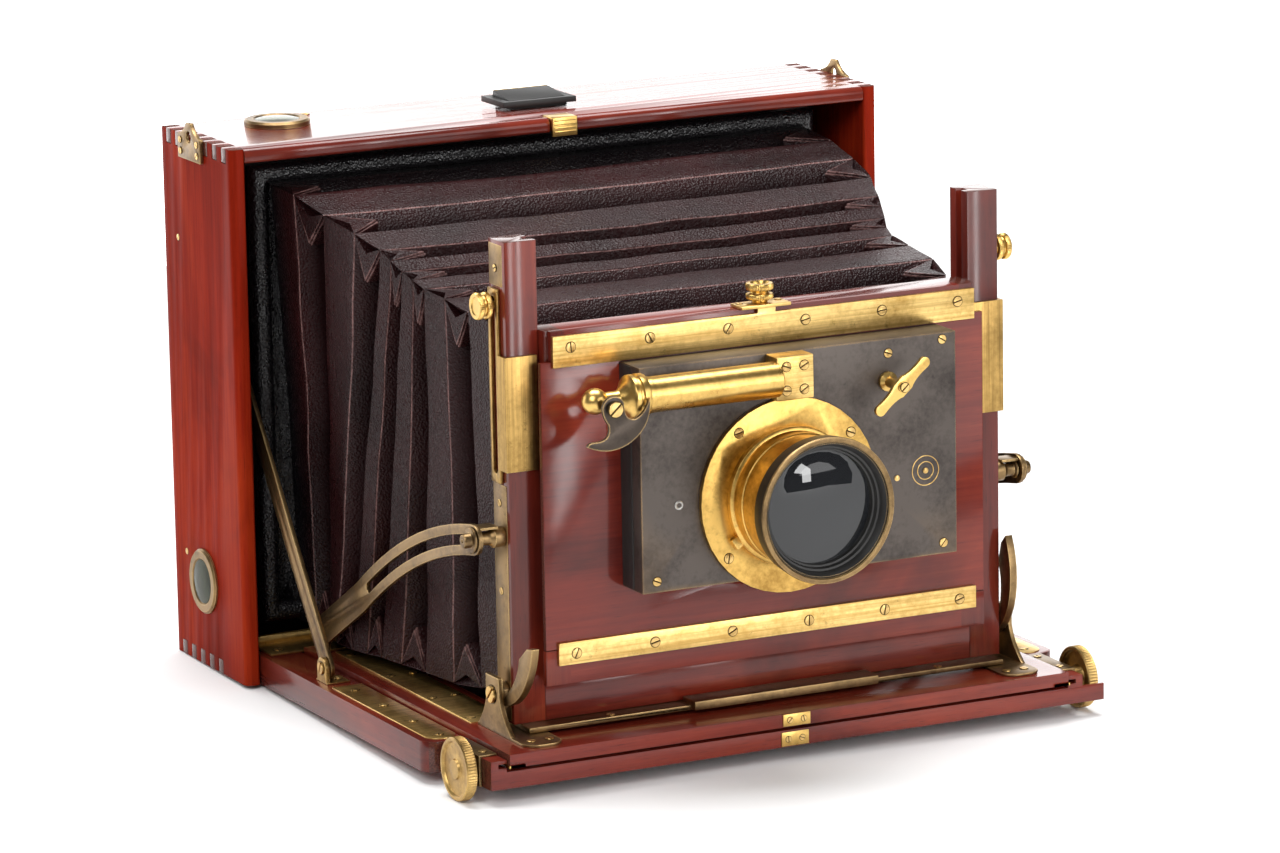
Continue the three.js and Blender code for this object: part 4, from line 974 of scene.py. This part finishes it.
def make_knobs():
    """The two focusing knobs: dished, with a milled rim and a riveted centre."""
    for side, name in SIDES:
        low, high = node_box(f"focus_knob_{name}")
        r, depth = (high.z - low.z) / 2, high.x - low.x
        back = depth - KNOB_RIM
        profile = [
            (1.7, 0.2), (3.6, 0.2), (4.0, 0.6), (4.0, back),
            *raised(depth, [(5.2, -2.3), (r - 2.2, -2.3), (r - 1.7, -2.8)]),
            *raised(back, [(r - 1.7, 0.3), (r - 1.4, 0), (r - 0.5, 0), (r - 0.05, 0.4), (r, 0.9)]),
            *raised(depth, [(r, -0.9), (r - 0.05, -0.4), (r - 0.5, 0), (r - 1.5, 0), (r - 2.0, -0.5),
                            (r - 2.3, -1.0), (5.0, -1.2), (4.2, -0.9), (3.8, -0.1), (3.2, 0), (1.0, 0),
                            (0.02, -0.05)]),
            (0.02, 2.5), (1.7, 2.5), (1.7, 0.2)]
        teeth = Knurl(72, 0.32, back + 0.8, depth - 0.8, r - 0.01)
        inner_end = node_end(f"focus_knob_{name}", (-side, 0, 0))
        knob = Build().turned(profile, 288, (side, 0, 0), inner_end, teeth)
        knob.make(f"focus_knob_{name}_milled", "knob_brass", "pinion", replaces=f"focus_knob_{name}")


def milled_screw(name, direction, profile, milled):
    """A clamp screw in a CAD node's place; milled is its teeth's lowest and highest heights
    and the least radius that is cut."""
    start = node_end(name, [-way for way in direction])
    made = Build().turned(profile, 216, direction, start, Knurl(54, 0.22, *milled))
    made.make(f"{name}_milled", "brass", name, replaces=name)


def make_clamp_screws():
    head = [(0.01, 0.0), (1.5, 0.0), (1.5, 7.0), (3.2, 7.1), (3.4, 7.5), (3.4, 8.0), (5.0, 8.1), (5.3, 8.5),
            (5.3, 9.7), (5.0, 10.1), (4.2, 10.4), (4.0, 10.8), (4.2, 11.2), (5.0, 11.5), (5.3, 11.9),
            (5.3, 13.3), (5.0, 13.7), (3.6, 13.7), (3.2, 13.3), (0.01, 13.2)]
    for side, name in SIDES:
        milled_screw(f"rise_clamp_{name}", (side, 0, 0), head, (8.4, 13.4, 5.25))
    top = [(0.01, 0), (1.5, 0), (1.5, 6.6), (3.0, 6.7), (3.2, 7.1), (3.2, 8.0), (5.1, 8.2), (5.45, 8.6),
           (5.45, 9.9), (5.1, 10.3), (3.9, 10.6), (3.7, 11.0), (3.9, 11.5), (5.2, 11.8), (5.55, 12.2),
           (5.55, 13.9), (5.2, 14.4), (3.9, 14.6), (3.5, 14.0), (3.3, 12.8), (0.01, 12.7)]
    milled_screw("thumb_screw", UP, top, (8.5, 14.0, 5.4))


STAY_NUT_BASE, STAY_NUT_WASHER, STAY_WING = 105, 122.9, 113.4    # distances from the middle


def make_stay_clamps():
    """Clamp nut, washer and folded finger plate at the end of each stay."""
    span = STAY_NUT_WASHER - STAY_NUT_BASE
    profile = [
        (0.01, 0), (1.5, 0), (1.5, 5.1), (3.9, 5.2), (4.1, 5.6), (4.1, 9.6), (3.2, 10.4), (2.7, 11.4),
        (2.7, 14.6), (3.6, 15.2), *raised(span, [
            (3.8, -2.2), (1.4, -2.1), (1.4, 0.15), (5.0, 0.2), (5.3, 0.5), (5.3, 1.0), (4.9, 1.3),
            (2.9, 1.4), (2.9, 3.6), (2.5, 4.4), (0.8, 4.5), (0.01, 3.2)])]
    for side, name in SIDES:
        _, y, z = middle(f"stay_clamp_{name}")
        clamp = Build().turned(profile, 48, (side, 0, 0), (side * STAY_NUT_BASE, y, z))
        clamp.block((side * STAY_WING, side * (STAY_WING + 7.6)), (y - 3.2, y + 4.4), (z + 4.0, z + 4.9))
        clamp.make(f"stay_clamp_{name}_turned", "aged_brass", f"stay_clamp_{name}", "aged_brass", bevel=0.2,
                   replaces=f"stay_clamp_{name}")


# ---------------------------------------------------------------- lens and shutter
def lens_turning(name, profile, material, slot="lacquered_brass", replaces=None):
    """A ring on the lens axis; heights run forwards from the flange face."""
    part = Build().turned(profile, 128, FORWARD, (0, FLANGE_FACE, LENS_Z))
    part.make(name, material, "lens_unit", slot, replaces=replaces)


def make_lens_rings():
    """The lens tube, the hood with its rim, the cell of the front lens and the baffle behind it."""
    front = FLANGE_FACE - HOOD_FRONT
    hood = front - 9.6
    lens_turning("lens_tube", [
        (23.4, 0.1), (27.9, 0.1), (27.9, 2.6), (27.4, 3.0), (26.5, 3.2), (26.3, 6.0), (26.6, 6.4),
        (26.6, 9.5), (26.2, 9.8), *raised(hood, [(26.2, -0.6), (26.8, -0.2), (26.8, 0.6), (24.0, 0.6),
                                                 (23.4, 0)]), (23.4, 0.1)],
        "flange_brass", replaces="lens_barrel")
    lens_turning("lens_hood", [
        *raised(hood, [(26.9, 0.7), (27.9, 0.8), (28.6, 1.6), (28.9, 4.6)]),
        *raised(front, [(29.1, -1.6), (29.1, -1.1), (26.4, -1.1)]),
        *raised(hood, [(26.4, 0.7), (26.9, 0.7)])], "hood_metal", "blackened_metal")
    lens_turning("hood_rim", raised(front, [
        (27.0, -1.0), (29.2, -1.0), (29.3, -0.7), (29.1, -0.15), (28.5, 0), (27.5, -0.1), (27.0, -0.5),
        (27.0, -1.0)]), "aged_brass")
    lens_turning("lens_cell", raised(front, [
        (26.3, -1.3), (26.9, -1.2), (26.6, -1.0), (25.4, -2.6), (24.9, -4.4), (24.1, -4.6), (23.6, -6.2),
        (22.9, -6.4), (22.6, -8.4), (23.0, -8.8), (25.8, -8.8), (26.3, -8.6), (26.3, -1.3)]),
        "black", "blackened_metal")
    lens_turning("lens_baffle", [
        (12.0, -1.0), (22.9, -1.0), (22.9, 0.4), (22.6, 3.0), (21.6, 6.0), (21.4, 9.0), (20.4, 9.0),
        (12.0, 1.0), (12.0, -1.0)], "inner_paint", "blackened_metal")


LEAVES, LEAF_RADIUS = 5, 24.4            # the shutter's blades


def make_shutter_leaves():
    """The closed blades behind the lenses."""
    leaves = Build()
    for k in range(LEAVES):
        a = 2 * math.pi * k / LEAVES
        spread = [a + 0.28 * i - 0.1 for i in range(7)]
        arc = [(LEAF_RADIUS * math.cos(s), LEAF_RADIUS * math.sin(s)) for s in spread]
        blade = prism([(-2.0 * math.cos(a), -2.0 * math.sin(a)), *arc], 0.25)
        leaves.add(*blade, facing(FORWARD), (0, PANEL_FACE - 4 - 0.3 * k, LENS_Z))
    leaves.make("shutter_leaves", "black", "lens_unit", "blackened_metal")


def make_flange_fittings():
    angles = [math.radians(45 + 90 * quarter - 6) for quarter in range(4)]
    places = [(35.4 * math.cos(a), FLANGE_FACE, LENS_Z + 35.4 * math.sin(a)) for a in angles]
    screws("flange_screws", places, FORWARD, 1.95, 0.35, "lens_unit")
    turn = Matrix.Rotation(math.radians(-33), 3, "Y")
    clip = Build().block((-31, -26.2), (0.3, -2.4), (-2.4, 2.4), turn, (0, FLANGE_FACE, LENS_Z))
    clip.make("flange_clip", "brass", "lens_unit", bevel=0.35)


def wire_ring(radius, half, low, high, taper=0.0):
    """The closed profile of a thin ring, half its width either side of a radius."""
    top = half - taper
    return [(radius - half, low), (radius + half, low), (radius + top, high), (radius - top, high),
            (radius - half, low)]


def make_shutter_marks():
    """The speed dial's rings and studs, and the eyelet, on the face of the shutter case."""
    dial = Build()
    for radius in (6.0, 3.6):
        dial.turned(wire_ring(radius, 0.22, 0, 0.14, taper=0.10), 48, FORWARD, (62.5, SHUTTER_FACE, 105))
    for x, z in ((62.5, 105), (49.5, 103.4)):
        stud = [(1.2, 0), (1.2, 0.3), (0.9, 0.5), (0.02, 0.6)]
        dial.turned(stud, 24, FORWARD, (x, SHUTTER_FACE, z))
    dial.make("shutter_dial_rings", "screw_brass", "lens_unit")
    rim = [(0.9, -0.2), (1.9, -0.2), (1.9, 0.15), (1.5, 0.45), (1.1, 0.35), (0.9, 0.0), (0.9, -0.2)]
    eyelet = Build().turned(rim, 32, FORWARD, (-47.8, SHUTTER_FACE, 104))
    eyelet.make("shutter_eyelet", "steel", "lens_unit", "steel")


def make_shutter_fittings():
    """The shutter case's screws, marks, side pins and side plate."""
    places = [(x, SHUTTER_FACE, z) for x, z in ((46, 154.5), (70.5, 157.5), (-58, 74.5), (70.5, 74.5))]
    screws("shutter_screws", places, FORWARD, 1.8, 0.3, "lens_unit")
    make_shutter_marks()
    left, right = SHUTTER_LOW.x, SHUTTER_HIGH.x
    stud = [(2.6, 0), (2.6, 0.3), (2.1, 0.6), (0.02, 0.7)]
    pins = Build().turned(stud, 32, FORWARD, (right + 3.8, PANEL_FACE, 104.7))
    for z in (104.7, 128):
        pin = [(0.75, 0), (0.75, 2.6), (0.4, 3.0), (0.02, 3.0)]
        pins.turned(pin, 20, (1, 0, 0), (right, PANEL_FACE - 9, z))
    pins.make("shutter_side_pins", "screw_brass", "lens_unit")
    places = [(left, PANEL_FACE - 5, z) for z in (86, 131)]
    screws("shutter_side_screws", places, (-1, 0, 0), 1.6, 0.3, "lens_unit")
    band = Build().block((left - 0.35, left + 2), (PANEL_FACE - 0.2, PANEL_FACE - 9.5),
                         (SHUTTER_LOW.z + 0.6, SHUTTER_HIGH.z - 0.6))
    band.make("shutter_side_plate", "black", "lens_unit", "blackened_metal", bevel=0.15)


BRAKE_RADIUS, BRAKE_LENGTH = 7.1, 58.0   # the polished cylinder
BRAKE_RIGHT, BRAKE_Z = -8.0, 151.3       # its right end and its height
BRAKE_BALL, BALL_MIDDLE = 5.2, 21.3      # the ball's radius, and its middle past the cylinder
BRAKE_NECK = 3.1


def brake_profile():
    r, end = BRAKE_RADIUS, BRAKE_LENGTH
    profile = [(0.01, -0.4), (r - 0.6, -0.4), (r, 0.2), *raised(end, [
        (r, -2), (r + 0.2, -1.8), (r + 0.2, 0), (r + 1.5, 0.6), (r + 1.8, 1.4), (r + 1.8, 3.4),
        (r + 1.1, 3.9), (r + 1.1, 4.6), (r + 1.7, 5.2), (r + 1.7, 6.8), (r + 1.0, 7.6), (r - 0.4, 8.2),
        (5.0, 9.6), (3.3, 11.4), (BRAKE_NECK, 12.6)])]
    start = math.asin(BRAKE_NECK / BRAKE_BALL)
    for k in range(13):
        a = start + (math.pi - start) * k / 12
        profile.append((max(0.01, BRAKE_BALL * math.sin(a)), end + BALL_MIDDLE - BRAKE_BALL * math.cos(a)))
    return profile


def make_brake():
    """The air brake: polished cylinder, ringed cap, waisted neck and ball, on its block."""
    start = (BRAKE_RIGHT, SHUTTER_FACE - 7.4, BRAKE_Z)
    brake = Build().turned(brake_profile(), 96, (-1, 0, 0), start)
    brake.make("brake_cylinder_turned", "brass", "lens_unit", replaces="brake_cylinder")
    face = SHUTTER_FACE - 9.6
    base = Build().block((BRAKE_RIGHT - 1, BRAKE_RIGHT + 15.5), (SHUTTER_FACE - 0.1, face), (142.7, 160.2))
    base.make("brake_block", "strip_brass", "lens_unit", bevel=0.5)
    places = [(BRAKE_RIGHT + x, face, z) for x in (3.4, 11.2) for z in (156.2, 146.6)]
    screws("brake_block_screws", places, FORWARD, 1.9, 0.4, "lens_unit")


def make_lever_screws():
    """The pivot screws of the release lever and the wing handle."""
    for name, lever, x, z, radius, height in (
            ("release_lever_screw", "release_lever", -84.4, 150, 3.0, 0.6),
            ("wing_screw", "wing_handle", 45.3, 143.4, 1.9, 0.5)):
        screws(name, [(x, node_box(lever)[0].y, z)], FORWARD, radius, height, lever)


# ---------------------------------------------------------------- levels, finder and catch
def make_level(name, direction):
    """A round level's card, its glass and the ring marked under it."""
    card = [(0.01, -1.36), (9.3, -1.36), (9.3, -1.2), (0.01, -1.2)]
    glass = [(0.01, -1.0), (9.2, -1.0), (9.2, -0.35), (6.5, 0.1), (3.2, 0.35), (0.01, 0.42)]
    for part, profile, segments, material, slot in (
            ("card", card, 48, "inner_paint", "blackened_metal"),
            ("glass", glass, 48, "level_glass", "glass"),
            ("ring", wire_ring(2.6, 0.12, -1.15, -1.05), 40, "screw_brass", "lacquered_brass")):
        made = Build().turned(profile, segments, direction, node_end(name, direction))
        made.make(f"{name}_{part}", material, "box", slot)


def make_finder_edge():
    """The brass strip along the back edge of the finder's lid."""
    low, high = node_box("finder_lid")
    edge = Build().block((low.x + 0.4, high.x - 0.4), (high.y - 0.2, high.y + 0.25),
                         (high.z - 2.2, high.z + 0.15))
    edge.make("finder_edge", "brass", "finder_lid", bevel=0.15)


def make_catch_ribs():
    """Four finger ribs on the front of the bed catch."""
    low, high = node_box("bed_catch")
    ribs = Build()
    for k in range(4):
        z = high.z - 1.3 - 1.6 * k
        ribs.block((low.x + 0.7, high.x - 0.7), (low.y - 0.25, low.y + 0.1), (z - 0.35, z + 0.35))
    ribs.make("bed_catch_ribs", "brass", "bed_catch", bevel=0.1)


# ---------------------------------------------------------------- stage, light and camera
CAMERA_PLACE = at(-1163.198, -2390.079, 674.576)
CAMERA_FORWARD = Vector((0.43755, 0.87339, -0.21388))
CAMERA_ROLL = math.radians(-1.02)
CAMERA_LENS = 181.8


def make_camera():
    data = bpy.data.cameras.new("camera")
    data.lens = CAMERA_LENS
    data.sensor_width = 36
    data.clip_end = 20
    camera = link(bpy.data.objects.new("camera", data))
    right = CAMERA_FORWARD.cross(Vector(UP)).normalized()
    up = right.cross(CAMERA_FORWARD)
    r = right * math.cos(CAMERA_ROLL) + up * math.sin(CAMERA_ROLL)
    u = -right * math.sin(CAMERA_ROLL) + up * math.cos(CAMERA_ROLL)
    turn = Matrix((r, u, -CAMERA_FORWARD)).transposed()
    camera.matrix_world = Matrix.Translation(CAMERA_PLACE) @ turn.to_4x4()
    bpy.context.scene.camera = camera


FLOOR_HALF, FLOOR_BACK, FLOOR_FRONT = 900.0, 800.0, -1700.0
FLOOR_GAP = 0.05


def make_floor():
    """A pale floor that touches the knobs and the box's back edge."""
    knob = node_end("focus_knob_left", (0, 0, -1))
    slope = -knob.z / ((BOX_HIGH.y - BOX_LOW.y) / MM - knob.y)
    corners = [(x, y, knob.z - FLOOR_GAP + slope * (y - knob.y)) for x, y in
               ((-FLOOR_HALF, FLOOR_FRONT), (FLOOR_HALF, FLOOR_FRONT), (FLOOR_HALF, FLOOR_BACK),
                (-FLOOR_HALF, FLOOR_BACK))]
    new_object("floor", corners, [(0, 1, 2, 3)], "floor_paint")


STUDIO_DIM = 0.12                        # room light from every side
BACKDROP = 2.6                           # the white backdrop, seen only in reflections
# Each light's place and aim in millimetres, its width and height in metres, and its power in watts.
LIGHTS = {
    "key": ((-1500, -1300, 1500), (0, -60, 100), (1.2, 1.2), 24),
    "window_left": ((300, -2100, 450), (0, -150, 110), (0.15, 0.85), 4),
    "window_right": ((720, -2100, 450), (0, -150, 110), (0.15, 0.85), 4),
    "fill": ((1000, -1700, 700), (0, -150, 60), (1.6, 1.2), 13),
    "top": ((100, 200, 1900), (0, -60, 100), (1.6, 1.0), 52),
}


def area_light(name, place_mm, target_mm, size, power):
    data = bpy.data.lights.new(name, "AREA")
    data.shape = "RECTANGLE"
    data.size, data.size_y = size
    data.energy = power
    light = link(bpy.data.objects.new(name, data))
    light.location = at(*place_mm)
    aim = at(*target_mm) - light.location
    light.rotation_euler = aim.to_track_quat("-Z", "Y").to_euler()


def make_light():
    """A white backdrop, soft room light and five soft lamps."""
    world = bpy.data.worlds.new("studio")
    world.use_nodes = True
    tree = world.node_tree
    background = tree.nodes["Background"]
    direction = node(tree, "TexCoord").outputs["Generated"]
    split = node(tree, "SeparateXYZ", {0: direction})
    behind = grey_ramp(tree, split.outputs[1], 0.35, 0.80)
    low = grey_ramp(tree, split.outputs[2], 0.55, 0.30)
    lit = plus(tree, times(tree, times(tree, behind, low), BACKDROP), STUDIO_DIM)
    seen = node(tree, "LightPath").outputs["Is Camera Ray"]
    tree.links.new(calc(tree, "MAXIMUM", lit, seen), background.inputs["Strength"])
    background.inputs["Color"].default_value = (1.0, 1.0, 1.0, 1.0)
    scene = bpy.context.scene
    scene.world = world
    scene.view_settings.view_transform = "Standard"
    scene.view_settings.look = "None"
    for name, settings in LIGHTS.items():
        area_light(name, *settings)


finish_cad_nodes()
make_bellows()
make_cuff()
# The screws draw their random turns in this order.
make_front_fittings()
make_upright_channels()
make_track_plates()
make_catch_plates()
make_side_screws()
make_knobs()
make_clamp_screws()
make_stay_clamps()
make_lens_rings()
make_shutter_leaves()
make_flange_fittings()
make_shutter_fittings()
make_brake()
make_lever_screws()
make_level("top_level", UP)
make_level("side_level", (-1, 0, 0))
make_finder_edge()
make_catch_ribs()
make_camera()
make_floor()
make_light()
